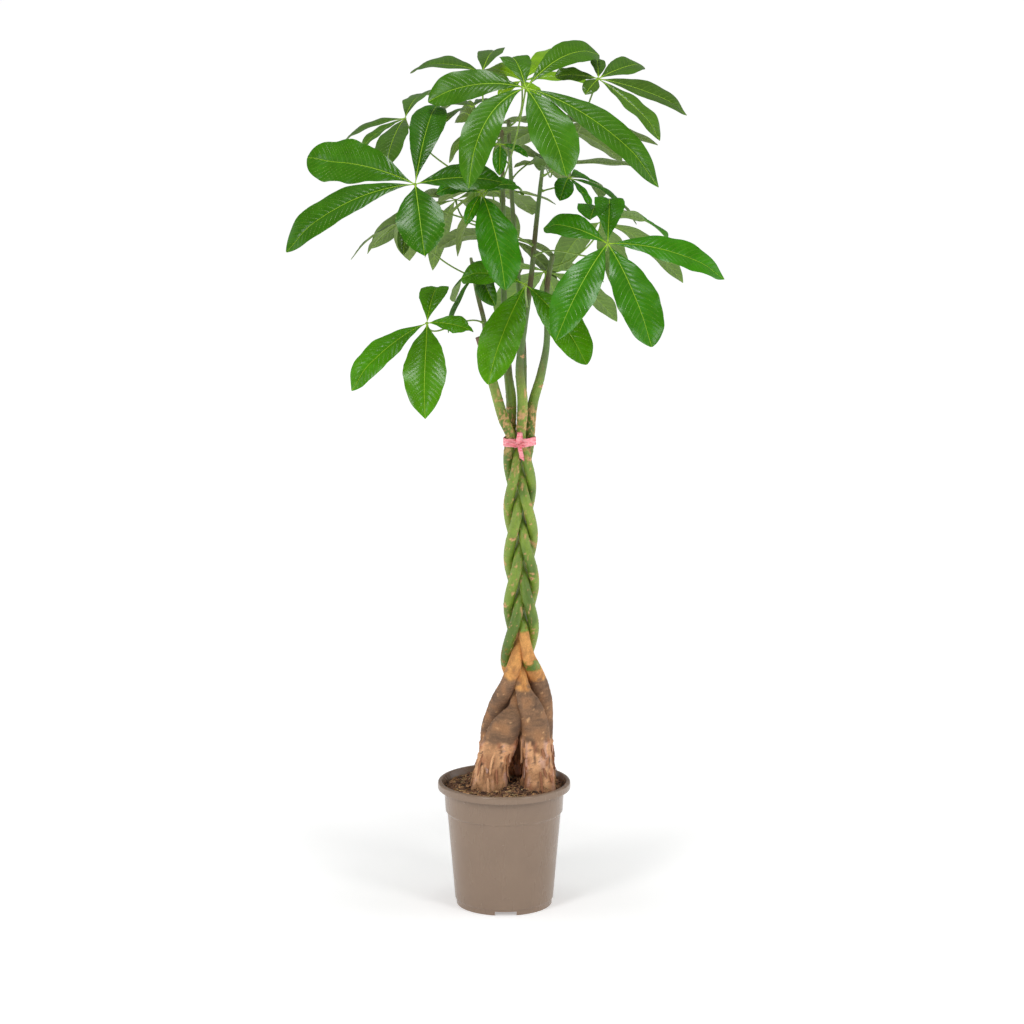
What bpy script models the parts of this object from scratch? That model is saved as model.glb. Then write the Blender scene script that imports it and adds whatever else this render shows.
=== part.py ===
"""Potted money tree: five plaited trunks with palmate leaves, in a plastic nursery pot with bark soil.

Metres, +Z up. The origin is on the floor under the middle of the pot, and -Y is the front.
"""

from collections import namedtuple
from math import cos, exp, pi, radians, sin, sqrt

import bmesh
import bpy
from mathutils import Vector
from mathutils.geometry import convex_hull_2d

GAP = 0.0003  # clearance between touching solids

# ---------- pot
POT_HEIGHT = 0.1816
RIM_RADIUS = 0.095
RIM_SKIRT = 0.0106  # height of the turned-down rim
RIM_LIP = 0.0016  # thickness of the rim's skirt and of its top
RIM_FLARE = 0.0903  # wall behind the skirt, at the top
COLLAR_RADIUS = 0.0858  # wall just under the rim
COLLAR_TAPER = 0.0016  # from there to the collar's foot
STEP_HEIGHT = 0.137  # where the collar steps in to the tapered wall
STEP_RADIUS = 0.0814
WALL_FOOT_RADIUS = 0.0706
FOOT_RADIUS = 0.0687
FOOT_HEIGHT = 0.008
FOOT_WIDTH = 0.0022
WALL = 0.0015
FLOOR = 0.0018
POT_SEGMENTS = 40
NOTCH_WIDTH = 0.031
NOTCH_HEIGHT = 0.0055
NOTCH_ANGLES = (-88, 32, 152)
DRAIN_RADIUS = 0.005
DRAIN_CIRCLE = 0.045
DRAIN_COUNT = 8

# ---------- soil
SOIL_EDGE = 0.1715
SOIL_MOUND = 0.007  # how much higher the soil stands at the trunks
SOIL_SEGMENTS = 28

# ---------- trunks
BURIED = 0.147  # height of the trunks' buried ends
SOIL_TOP = 0.178
AXIS_FOOT = 0.014  # X of the plait's axis at the soil
AXIS_TIE = 0.021  # and at the tie
TIE_HEIGHT = 0.676
PLAIT_PERIOD = 0.350
PLAIT_ACROSS = 2.36  # half the width of a trunk's path, over the trunk's radius
PLAIT_DEEP = 2.18  # half its depth
PLAIT_BOW = 0.12  # how square its turns are at the plait's edges
PLAIT_TOP_CROSSING = 0.666  # where trunk 1 crosses the middle
SPREAD_OVER = 0.085  # height in which a trunk reaches its foot from the plait
PLAIT_FOOT = 0.255  # below this the trunks no longer turn about each other
TRUNK_SIDES = 8
TRUNK_STEP = 0.0135

# How a trunk thickens below the plait: the share of the way down to the soil, and the share of the thickening.
SLOW_SWELL = ((0.0, 0.0), (0.12, 0.10), (0.33, 0.42), (0.52, 0.64), (0.80, 0.88), (1.0, 1.0))
EARLY_SWELL = ((0.0, 0.0), (0.10, 0.08), (0.195, 0.50), (0.33, 0.84), (0.60, 0.96), (1.0, 1.0))
STEEP_SWELL = ((0.0, 0.0), (0.12, 0.10), (0.177, 0.18), (0.25, 0.40), (0.37, 0.66), (0.60, 0.86), (1.0, 1.0))

Trunk = namedtuple("Trunk", "name turn leave foot foot_radius swell upper")
# leave is the height below which the trunk leaves the plait for its foot.
# foot is the trunk's place at the soil, from the plait's axis. upper runs above the tie as (x, y, z, radius).
TRUNKS = (
    Trunk("trunk_back_shoot", 0, 0.294, (-0.034, -0.025), 0.0232, EARLY_SWELL,
          ((0.026, 0.013, 0.730, 0.0060), (0.027, 0.030, 0.800, 0.0045), (0.020, 0.050, 0.900, 0.0036),
           (0.012, 0.062, 1.000, 0.0032), (0.006, 0.072, 1.120, 0.0026))),
    Trunk("trunk_right", 1, 0.370, (0.036, 0.026), 0.0200, SLOW_SWELL,
          ((0.040, 0.004, 0.725, 0.0072), (0.052, 0.002, 0.770, 0.0062), (0.060, 0.000, 0.816, 0.0046),
           (0.060, -0.002, 0.890, 0.0038), (0.068, -0.004, 0.940, 0.0036))),
    Trunk("trunk_centre", 2, 0.330, (0.034, -0.024), 0.0220, STEEP_SWELL,
          ((0.026, -0.012, 0.735, 0.0074), (0.022, -0.012, 0.786, 0.0056), (0.037, -0.008, 0.900, 0.0038),
           (0.045, -0.002, 0.982, 0.0034), (0.054, 0.010, 1.062, 0.0026))),
    Trunk("trunk_middle_left", 3, 0.358, (0.001, 0.038), 0.0140, SLOW_SWELL,
          ((0.010, 0.008, 0.735, 0.0072), (0.006, 0.004, 0.770, 0.0060), (0.000, 0.002, 0.880, 0.0040),
           (-0.001, 0.012, 1.000, 0.0034), (-0.003, 0.022, 1.110, 0.0026))),
    Trunk("trunk_left", 4, 0.328, (-0.034, 0.026), 0.0180, SLOW_SWELL,
          ((-0.001, -0.012, 0.710, 0.0074), (-0.014, -0.014, 0.756, 0.0070), (-0.026, -0.015, 0.800, 0.0064),
           (-0.034, -0.015, 0.826, 0.0062))),
)
SIDE_SHOOT = ((-0.021, -0.016, 0.790, 0.0030), (-0.026, -0.019, 0.830, 0.0034), (-0.028, -0.018, 0.850, 0.0034),
              (-0.038, -0.012, 0.890, 0.0030), (-0.046, -0.004, 0.935, 0.0022))

# ---------- tie
TIE_WIDTH = 0.012
TIE_TAPE = 0.0010
TIE_SLACK = 0.0008  # between the band and the round of the trunks
TIE_COUNT = 28  # corners of the band
KNOT_HALF = (0.0062, 0.0036, 0.0060)  # half the knot's size each way
KNOT_DROP = 0.002  # from the band's middle down to the knot's
TAPE_END_WIDTH = 0.0065
TAPE_ENDS = {  # steps (x, z) from the knot along each loose end
    "tape_up": ((0, 0), (0.001, 0.009), (0.003, 0.017), (0.002, 0.022)),
    "tape_down": ((0, 0), (0.002, -0.009), (0.003, -0.016), (0.002, -0.023)),
}

# ---------- leaves
PETIOLE_RADIUS = 0.0015
PETIOLE_RINGS = 6
PETIOLE_SEAT = 0.0006  # from the stem to the middle of the petiole's flat end
LEAFLET_SHARE = 0.38  # widest width over length
LEAFLET_THICK = 0.0012
RISE = 0.14  # how far a leaflet arches above its chord
GUTTER = 0.10  # how far its edges stand above its midrib
STATIONS = ((0.08, 0.13), (0.26, 0.56), (0.50, 0.98), (0.74, 0.88), (0.91, 0.40))

Leaf = namedtuple("Leaf", "name stem height hub facing tilt droop fan")
# hub is the leaf's middle; facing and tilt (degrees) aim its upper side. fan holds each leaflet's bearing
# from facing (degrees), its length (mm) and, where it isn't the usual one, its width as a share of length.
LEAVES = (
    Leaf("leaf_crown", "trunk_middle_left", 1.045, (0.030, -0.120, 1.180), -80, 40, 0.30,
         ((-175, 110), (-105, 135), (-40, 150), (20, 120, 0.50), (60, 200, 0.30), (140, 195, 0.22))),
    Leaf("leaf_crown_right", "trunk_centre", 1.050, (0.130, -0.020, 1.185), -55, 35, 0.05,
         ((-105, 65, 0.45), (-55, 45, 0.5), (15, 125, 0.30), (60, 135, 0.36), (110, 105, 0.36), (152, 60, 0.38))),
    Leaf("leaf_crown_left", "trunk_middle_left", 1.098, (-0.030, 0.025, 1.190), -105, 20, 0.15,
         ((-175, 125, 0.30), (-115, 135, 0.32), (-45, 85), (70, 45, 0.45))),
    Leaf("leaf_far_left", "trunk_middle_left", 1.020, (-0.140, 0.100, 1.120), -145, 25, 0.15,
         ((-140, 145, 0.28), (-60, 110, 0.32), (-15, 75, 0.36), (40, 115, 0.42))),
    Leaf("leaf_left", "trunk_centre", 0.955, (-0.120, -0.120, 1.050), -100, 40, 0.15,
         ((-115, 175, 0.40), (-65, 190, 0.30), (15, 110, 0.55), (105, 120, 0.42), (180, 200, 0.24))),
    Leaf("leaf_middle", "trunk_middle_left", 1.035, (-0.030, -0.100, 1.035), -75, 40, 0.35,
         ((-125, 70, 0.38), (-40, 45, 0.38), (5, 120, 0.50), (125, 85, 0.36))),
    Leaf("leaf_right", "trunk_centre", 0.940, (0.140, -0.170, 0.975), -80, 40, 0.20,
         ((-130, 105, 0.46), (-35, 155, 0.38), (15, 150, 0.42), (85, 165, 0.32), (170, 130, 0.32))),
    Leaf("leaf_right_rear", "trunk_right", 0.925, (0.135, -0.005, 0.985), 70, 30, 0.35,
         ((-170, 160, 0.30), (-125, 150, 0.34), (-50, 130, 0.34), (5, 130, 0.34), (50, 115, 0.34))),
    Leaf("leaf_inner_right", "trunk_centre", 1.030, (0.090, 0.010, 1.045), -20, 25, 0.25,
         ((-80, 70, 0.40), (-35, 60, 0.34), (40, 115, 0.34), (85, 120, 0.36), (130, 140, 0.34))),
    Leaf("leaf_back_right", "trunk_centre", 1.058, (0.070, 0.150, 1.050), 70, 20, 0.00,
         ((-90, 145, 0.26), (10, 90), (80, 65), (150, 135, 0.34))),
    Leaf("leaf_back_upper", "trunk_back_shoot", 1.080, (0.045, 0.010, 1.115), 85, 15, 0.10,
         ((-160, 140, 0.34), (-85, 170, 0.26), (-15, 120), (55, 95))),
    Leaf("leaf_low_middle", "trunk_centre", 0.870, (0.030, -0.100, 0.910), -90, 40, 0.25,
         ((-120, 105, 0.44), (-20, 140, 0.42), (40, 130, 0.42))),
    Leaf("leaf_low_left", "side_shoot", 0.848, (-0.105, -0.120, 0.860), -105, 35, 0.20,
         ((-175, 110, 0.36), (-45, 130, 0.34), (15, 145, 0.40), (95, 65, 0.50))),
    Leaf("leaf_outer_left", "side_shoot", 0.912, (-0.125, 0.060, 0.980), 165, 10, 0.40,
         ((-70, 160, 0.30), (-25, 95, 0.26), (10, 95, 0.26), (95, 90, 0.26))),
    Leaf("leaf_small_far", "trunk_back_shoot", 1.100, (-0.045, 0.120, 1.135), -165, 10, 0.05,
         ((-130, 80, 0.34), (-80, 100, 0.28), (45, 80, 0.28))),
    Leaf("leaf_hanging", "trunk_back_shoot", 1.060, (-0.035, 0.155, 1.105), -145, 50, 0.30,
         ((-115, 115, 0.34), (-40, 60, 0.42), (75, 50, 0.34))),
    Leaf("leaf_bud", "trunk_middle_left", 1.078, (-0.005, -0.020, 1.095), -85, 30, 0.25,
         ((-80, 40, 0.42), (-5, 50, 0.40), (70, 40, 0.42))),
    Leaf("leaf_lime_top", "trunk_back_shoot", 1.115, (0.025, 0.075, 1.175), -95, 20, 0.10,
         ((-140, 85, 0.50), (-35, 50, 0.40), (30, 55, 0.40), (105, 100, 0.34), (155, 165, 0.32))),
    Leaf("leaf_pale_left", "trunk_middle_left", 0.990, (-0.020, 0.005, 1.035), 150, 40, 0.35,
         ((-20, 110, 0.34), (45, 115, 0.30), (110, 90, 0.30))),
    Leaf("leaf_inner_low", "trunk_back_shoot", 0.900, (0.010, 0.130, 0.945), 60, 35, 0.30,
         ((-80, 75, 0.32), (-30, 85, 0.34), (20, 75, 0.34), (110, 110, 0.34))),
    Leaf("leaf_inner_pale", "trunk_back_shoot", 0.970, (-0.005, 0.110, 1.015), 65, 15, 0.10,
         ((-120, 55, 0.40), (-70, 80, 0.42), (0, 110), (80, 110), (150, 75, 0.34))),
    Leaf("leaf_small_low", "side_shoot", 0.930, (-0.035, 0.015, 0.915), 190, 50, 0.30,
         ((-75, 120, 0.30), (15, 80, 0.34), (90, 110, 0.30))),
    Leaf("leaf_rear_high", "trunk_back_shoot", 1.040, (0.070, 0.215, 1.100), 80, 30, 0.25,
         ((-120, 105), (-60, 110), (0, 85), (60, 110), (120, 95))),
    Leaf("leaf_rear_left", "trunk_middle_left", 0.960, (-0.070, 0.190, 0.995), 110, 35, 0.25,
         ((-125, 100), (-65, 125), (0, 135), (60, 130), (120, 100))),
    Leaf("leaf_rear_low", "trunk_right", 0.880, (0.060, 0.120, 0.900), 75, 35, 0.25,
         ((-110, 100), (-50, 120), (0, 135), (50, 120), (110, 95))),
)

# ---------- colours
TAUPE = (0.305, 0.216, 0.150)
SOIL_BROWN = (0.060, 0.036, 0.022)
BARK_GREEN = (0.200, 0.300, 0.060)
LEAF_GREEN = (0.045, 0.180, 0.020)
TAPE_PINK = (0.850, 0.250, 0.300)


# ---------- helpers
def material(name, colour, roughness):
    made = bpy.data.materials.new(name)
    made.use_nodes = True
    shader = made.node_tree.nodes["Principled BSDF"]
    shader.inputs["Base Color"].default_value = (*colour, 1)
    shader.inputs["Roughness"].default_value = roughness
    shader.inputs["Metallic"].default_value = 0
    return made


def solid(name, points, faces, finish=None):
    """A mesh object from points and faces, its faces turned outwards."""
    mesh = bpy.data.meshes.new(name)
    mesh.from_pydata([tuple(p) for p in points], [], faces)
    work = bmesh.new()
    work.from_mesh(mesh)
    bmesh.ops.recalc_face_normals(work, faces=work.faces)
    work.to_mesh(mesh)
    work.free()
    mesh.shade_smooth()
    mesh.set_sharp_from_angle(angle=radians(40))
    made = bpy.data.objects.new(name, mesh)
    if finish:
        mesh.materials.append(finish)
    bpy.context.scene.collection.objects.link(made)
    return made


def combine(obj, other, operation):
    """Cuts other from obj, or joins it on, and leaves other as a hidden helper."""
    other.hide_render = True
    other.display_type = "WIRE"
    step = obj.modifiers.new(other.name, "BOOLEAN")
    step.operation = operation
    step.object = other


def mix(a, b, share):
    return a + (b - a) * share


def smoothstep(value):
    value = min(max(value, 0.0), 1.0)
    return value * value * (3 - 2 * value)


def through(keys, at):
    """Reads a smooth curve through keys, tuples whose first number is the place along it, at the place at."""
    if at <= keys[0][0]:
        return keys[0][1:]
    for i in range(len(keys) - 1):
        if at <= keys[i + 1][0]:
            break
    else:
        return keys[-1][1:]
    before, a, b, after = keys[max(i - 1, 0)], keys[i], keys[i + 1], keys[min(i + 2, len(keys) - 1)]
    span = b[0] - a[0]
    s = (at - a[0]) / span
    out = []
    for k in range(1, len(a)):
        slope_a = (b[k] - before[k]) / (b[0] - before[0])
        slope_b = (after[k] - a[k]) / (after[0] - a[0])
        out.append(
            (2 * s**3 - 3 * s**2 + 1) * a[k] + (s**3 - 2 * s**2 + s) * span * slope_a
            + (3 * s**2 - 2 * s**3) * b[k] + (s**3 - s**2) * span * slope_b
        )
    return tuple(out)


def ring_about(centre, forward, side, radius, sides):
    """Points of a circle round centre, square to forward, the first one towards side."""
    side = (side - forward * side.dot(forward)).normalized()
    other = forward.cross(side)
    turns = [2 * pi * k / sides for k in range(sides)]
    return [centre + side * (radius * cos(t)) + other * (radius * sin(t)) for t in turns]


def tube_mesh(centres, radii, sides, cap=0.35):
    """Points and faces of a closed tube with slightly domed ends. The domes are cap radii deep."""
    points, faces = [], []
    last = len(centres) - 1
    side = Vector((1, 0, 0))
    for k, centre in enumerate(centres):
        forward = (centres[min(k + 1, last)] - centres[max(k - 1, 0)]).normalized()
        side = (side - forward * side.dot(forward)).normalized()
        points += ring_about(centre, forward, side, radii[k], sides)
    for k in range(last):
        for j in range(sides):
            a, b = k * sides + j, k * sides + (j + 1) % sides
            faces.append((a, b, b + sides, a + sides))
    for end, inner in ((0, 1), (last, last - 1)):
        outward = (centres[end] - centres[inner]).normalized()
        tip = len(points)
        points.append(centres[end] + outward * (radii[end] * cap))
        for j in range(sides):
            faces.append((end * sides + j, end * sides + (j + 1) % sides, tip))
    return points, faces


def turned(name, profile, segments, finish=None):
    """A solid of revolution about Z from a closed profile of (radius, height). Radius 0 is a pole."""
    points, faces, rows = [], [], []
    for radius, height in profile:
        if radius == 0:
            rows.append([len(points)] * segments)
            points.append((0, 0, height))
            continue
        rows.append(list(range(len(points), len(points) + segments)))
        for k in range(segments):
            turn = 2 * pi * k / segments
            points.append((radius * cos(turn), radius * sin(turn), height))
    for row, following in zip(rows, rows[1:] + rows[:1]):
        for k in range(segments):
            n = (k + 1) % segments
            face = tuple(dict.fromkeys((row[k], row[n], following[n], following[k])))
            if len(face) > 2:
                faces.append(face)
    return solid(name, points, faces, finish)


def box(name, centre, size, turn=0.0):
    """A box helper, turned about Z."""
    half = [s / 2 for s in size]
    corners = [(x, y, z) for x in (-1, 1) for y in (-1, 1) for z in (-1, 1)]
    points = [
        (
            centre[0] + x * half[0] * cos(turn) - y * half[1] * sin(turn),
            centre[1] + x * half[0] * sin(turn) + y * half[1] * cos(turn),
            centre[2] + z * half[2],
        )
        for x, y, z in corners
    ]
    faces = [(0, 1, 3, 2), (4, 6, 7, 5), (0, 4, 5, 1), (2, 3, 7, 6), (0, 2, 6, 4), (1, 5, 7, 3)]
    return solid(name, points, faces)


# ---------- pot and soil
def wall_radius(height):
    """The tapered wall's outer radius below the collar."""
    return mix(WALL_FOOT_RADIUS, STEP_RADIUS, (height - FOOT_HEIGHT) / (STEP_HEIGHT - FOOT_HEIGHT))


def pot_profile():
    skirt_foot = POT_HEIGHT - RIM_SKIRT
    foot_inner = FOOT_RADIUS - FOOT_WIDTH
    collar_foot = COLLAR_RADIUS - COLLAR_TAPER
    under_lip = POT_HEIGHT - RIM_LIP
    outside = [
        (0, FOOT_HEIGHT),
        (foot_inner, FOOT_HEIGHT),
        (foot_inner, 0),
        (FOOT_RADIUS, 0),
        (FOOT_RADIUS, FOOT_HEIGHT - 0.001),
        (WALL_FOOT_RADIUS, FOOT_HEIGHT + 0.001),
        (STEP_RADIUS, STEP_HEIGHT - 0.001),
        (collar_foot, STEP_HEIGHT + 0.001),
        (COLLAR_RADIUS, skirt_foot),
        (RIM_FLARE, under_lip - 0.0008),
        (RIM_RADIUS - RIM_LIP, under_lip - 0.0012),
        (RIM_RADIUS - RIM_LIP, skirt_foot),
        (RIM_RADIUS, skirt_foot),
        (RIM_RADIUS, POT_HEIGHT - 0.0022),
        (RIM_RADIUS - 0.0007, POT_HEIGHT - 0.0006),
        (RIM_RADIUS - 0.0024, POT_HEIGHT),
    ]
    inside = [
        (RIM_FLARE - 0.0002, POT_HEIGHT),
        (RIM_FLARE - WALL, POT_HEIGHT - 0.0014),
        (COLLAR_RADIUS - WALL, skirt_foot),
        (collar_foot - WALL, STEP_HEIGHT + 0.002),
        (STEP_RADIUS - WALL, STEP_HEIGHT),
        (WALL_FOOT_RADIUS - WALL, FOOT_HEIGHT + FLOOR),
        (0, FOOT_HEIGHT + FLOOR),
    ]
    return outside + inside


def make_pot(finish):
    pot = turned("pot", pot_profile(), POT_SEGMENTS, finish)
    for k, angle in enumerate(NOTCH_ANGLES):
        turn = radians(angle)
        centre = (FOOT_RADIUS * cos(turn), FOOT_RADIUS * sin(turn), NOTCH_HEIGHT - 0.012)
        notch = box(f"notch_{k}", centre, (0.020, NOTCH_WIDTH, 2 * 0.012), turn)
        combine(pot, notch, "DIFFERENCE")
    for k in range(DRAIN_COUNT):
        turn = 2 * pi * (k + 0.5) / DRAIN_COUNT
        at = Vector((DRAIN_CIRCLE * cos(turn), DRAIN_CIRCLE * sin(turn), 0))
        ends = [at + Vector((0, 0, FOOT_HEIGHT - 0.002)), at + Vector((0, 0, FOOT_HEIGHT + FLOOR + 0.002))]
        points, faces = tube_mesh(ends, [DRAIN_RADIUS] * 2, 8)
        combine(pot, solid(f"drain_{k}", points, faces), "DIFFERENCE")
    return pot


def soil_height(x, y):
    """The soil's surface: mounded round the trunks, with a slow unevenness."""
    away = sqrt((x - AXIS_FOOT) ** 2 + y**2)
    mound = SOIL_MOUND * exp(-((away / 0.058) ** 4))
    return SOIL_EDGE + mound + 0.0010 * sin(95 * x + 1.3) * cos(80 * y - 0.6)


def make_soil(finish, sockets):
    inner = GAP + WALL
    floor = FOOT_HEIGHT + FLOOR + GAP
    rings = (0.25, 0.48, 0.68, 0.84, 1.0)
    edge = COLLAR_RADIUS - COLLAR_TAPER - inner
    profile = [(0, floor), (WALL_FOOT_RADIUS - inner - 0.0004, floor), (STEP_RADIUS - inner - 0.0004, STEP_HEIGHT)]
    profile += [(edge - 0.0003, STEP_HEIGHT + 0.003)]
    profile += [(edge * share, SOIL_EDGE) for share in reversed(rings)] + [(0, SOIL_EDGE)]
    soil = turned("soil", profile, SOIL_SEGMENTS, finish)
    for vertex in soil.data.vertices:
        if vertex.co.z > SOIL_EDGE - 0.001:
            vertex.co.z = soil_height(vertex.co.x, vertex.co.y)
    combine(soil, sockets, "DIFFERENCE")
    return soil


# ---------- trunks
def axis_x(height):
    """The plait leans and bows a little to the right."""
    keys = ((SOIL_TOP, AXIS_FOOT), (0.300, 0.018), (0.420, 0.0245), (0.550, 0.0235), (TIE_HEIGHT, AXIS_TIE))
    return through(keys, height)[0]


def plait_radius(height):
    keys = ((0.340, 0.0076), (0.440, 0.0076), (0.560, 0.0072), (TIE_HEIGHT, 0.0066))
    return through(keys, height)[0]


def trunk_radius(trunk, height):
    """From a little above where it leaves the plait, the trunk thickens down to the soil."""
    start = trunk.leave + 0.012
    fall = (start - height) / (start - SOIL_TOP)
    return mix(plait_radius(height), trunk.foot_radius, through(trunk.swell, fall)[0])


def plait_centre(trunk, height):
    """The place of a trunk at this height: a flat figure of eight, left for the trunk's own foot low down."""
    crossing = PLAIT_TOP_CROSSING - trunk.turn * PLAIT_PERIOD / 5
    turn = pi / 2 - 2 * pi * (crossing - max(height, PLAIT_FOOT)) / PLAIT_PERIOD
    radius = plait_radius(height)
    across = (cos(turn) + PLAIT_BOW * cos(3 * turn)) / (1 + PLAIT_BOW)
    woven = Vector((-PLAIT_ACROSS * radius * across, -PLAIT_DEEP * radius * sin(2 * turn)))
    leave = smoothstep((trunk.leave - height) / SPREAD_OVER)
    place = woven.lerp(Vector(trunk.foot), leave)
    return Vector((axis_x(height) + place.x, place.y, height))


def trunk_line(trunk):
    """Centres and radii of a trunk from its buried end to its top."""
    count = round((TIE_HEIGHT + 0.006 - BURIED) / TRUNK_STEP)
    heights = [mix(BURIED, TIE_HEIGHT + 0.006, k / count) for k in range(count + 1)]
    centres = [plait_centre(trunk, z) for z in heights]
    radii = [trunk_radius(trunk, z) for z in heights]
    below = [(z, c.x, c.y, r) for z, c, r in zip(heights[-3:], centres[-3:], radii[-3:])]
    keys = below + [(z, x, y, r) for x, y, z, r in trunk.upper]
    top = keys[-1][0]
    steps = round((top - heights[-1]) / 0.020)
    for k in range(1, steps + 1):
        z = mix(heights[-1], top, k / steps)
        x, y, radius = through(keys, z)
        centres.append(Vector((x, y, z)))
        radii.append(radius)
    return centres, radii


def shoot_line():
    keys = [(z, x, y, r) for x, y, z, r in SIDE_SHOOT]
    heights = [mix(keys[0][0], keys[-1][0], k / 9) for k in range(10)]
    read = [through(keys, z) for z in heights]
    return [Vector((x, y, z)) for z, (x, y, _) in zip(heights, read)], [r for _, _, r in read]


def stem_lines():
    lines = {trunk.name: trunk_line(trunk) for trunk in TRUNKS}
    lines["side_shoot"] = shoot_line()
    return lines


def make_trunks(finish, lines):
    for trunk in TRUNKS:
        made = solid(trunk.name, *tube_mesh(*lines[trunk.name], TRUNK_SIDES), finish)
        if trunk.name == "trunk_left":
            shoot = solid("side_shoot", *tube_mesh(*lines["side_shoot"], 6))
            combine(made, shoot, "UNION")


def make_sockets(lines):
    """One helper of five tubes, a little larger than the trunks' buried ends, that the soil is cut by."""
    points, faces = [], []
    for trunk in TRUNKS:
        centres, radii = lines[trunk.name]
        low = 8
        centres = [centres[0] - Vector((0, 0, 2 * GAP))] + centres[1:low]
        more, their_faces = tube_mesh(centres, [r + GAP for r in radii[:low]], TRUNK_SIDES)
        faces += [tuple(i + len(points) for i in face) for face in their_faces]
        points += more
    return solid("sockets", points, faces)


# ---------- tie
def tie_outline(grow):
    """The outline of a band drawn tight round the five trunks, as points (x, y)."""
    points = []
    for trunk in TRUNKS:
        for step in (-0.55, -0.25, 0.0, 0.25, 0.55):
            height = TIE_HEIGHT + step * TIE_WIDTH
            centre = plait_centre(trunk, height)
            radius = plait_radius(height) + grow
            for k in range(16):
                turn = 2 * pi * k / 16
                points.append(Vector((centre.x + radius * cos(turn), centre.y + radius * sin(turn))))
    return [points[i] for i in convex_hull_2d(points)]


def resampled(outline, count):
    """The closed outline as count points at even angles round its middle."""
    middle = sum(outline, Vector((0, 0))) / len(outline)
    out = []
    for k in range(count):
        ray = Vector((cos(2 * pi * k / count), sin(2 * pi * k / count)))
        for a, b in zip(outline, outline[1:] + outline[:1]):
            a, b = a - middle, b - middle
            edge = b - a
            det = ray.x * -edge.y + ray.y * edge.x
            if abs(det) < 1e-12:
                continue
            reach = (a.x * -edge.y + a.y * edge.x) / det
            share = (ray.x * a.y - ray.y * a.x) / det
            if reach > 0 and -1e-9 <= share <= 1 + 1e-9:
                out.append(middle + ray * reach)
                break
    return out


def make_tie(finish):
    count = TIE_COUNT
    inner = resampled(tie_outline(TIE_SLACK), count)
    outer = resampled(tie_outline(TIE_SLACK + TIE_TAPE), count)
    low, high = TIE_HEIGHT - TIE_WIDTH / 2, TIE_HEIGHT + TIE_WIDTH / 2
    points = [(*p, z) for z in (low, high) for p in inner] + [(*p, z) for z in (low, high) for p in outer]
    faces = []
    for k in range(count):
        n = (k + 1) % count
        faces += [
            (k, n, count + n, count + k),
            (2 * count + k, 2 * count + n, 3 * count + n, 3 * count + k),
            (k, n, 2 * count + n, 2 * count + k),
            (count + k, count + n, 3 * count + n, 3 * count + k),
        ]
    solid("tie_band", points, faces, finish)
    front = min(outer, key=lambda p: p.y + 0.3 * abs(p.x - AXIS_TIE))
    make_knot(finish, Vector((AXIS_TIE, front.y - GAP, TIE_HEIGHT - KNOT_DROP)))


def ribbon(name, centres, width, thick):
    """A flat strip of tape along centres, square to Y."""
    points, faces = [], []
    for k, centre in enumerate(centres):
        along = (centres[min(k + 1, len(centres) - 1)] - centres[max(k - 1, 0)]).normalized()
        across = along.cross(Vector((0, 1, 0))).normalized() * (width / 2)
        out = across.cross(along).normalized() * (thick / 2)
        points += [centre - across - out, centre + across - out, centre + across + out, centre - across + out]
    for k in range(len(centres) - 1):
        for j in range(4):
            a, b = 4 * k + j, 4 * k + (j + 1) % 4
            faces.append((a, b, b + 4, a + 4))
    end = 4 * (len(centres) - 1)
    faces += [(3, 2, 1, 0), (end, end + 1, end + 2, end + 3)]
    return solid(name, points, faces)


def make_knot(finish, seat):
    """The knot on the front of the band, with two short ends of tape."""
    lump = Vector(KNOT_HALF)
    middle = seat - Vector((0, lump.y, 0))
    work = bmesh.new()
    bmesh.ops.create_icosphere(work, subdivisions=2, radius=1)
    for vertex in work.verts:
        vertex.co = middle + Vector(a * b for a, b in zip(vertex.co, lump))
    mesh = bpy.data.meshes.new("tie_knot")
    work.to_mesh(mesh)
    work.free()
    mesh.materials.append(finish)
    knot = bpy.data.objects.new("tie_knot", mesh)
    bpy.context.scene.collection.objects.link(knot)
    for name, route in TAPE_ENDS.items():
        centres = [middle + Vector((x, -0.0006 - 0.03 * abs(z), z)) for x, z in route]
        combine(knot, ribbon(name, centres, TAPE_END_WIDTH, TIE_TAPE), "UNION")


# ---------- leaves
def leaf_axes(leaf):
    """The leaf's upper direction, and the two directions its bearings are measured in."""
    turn, tilt = radians(leaf.facing), radians(leaf.tilt)
    up = Vector((sin(tilt) * cos(turn), sin(tilt) * sin(turn), cos(tilt)))
    ahead = Vector((cos(tilt) * cos(turn), cos(tilt) * sin(turn), -sin(tilt)))
    return up, ahead, up.cross(ahead)


def midrib(leaf, bearing, length, share):
    """The point of a leaflet's midrib at this share of its length: arched, then drooping."""
    up, ahead, left = leaf_axes(leaf)
    out = ahead * cos(radians(bearing)) + left * sin(radians(bearing))
    point = out * share + up * (RISE * share * (1 - share)) - Vector((0, 0, leaf.droop * share**2))
    return Vector(leaf.hub) + point * length


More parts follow.
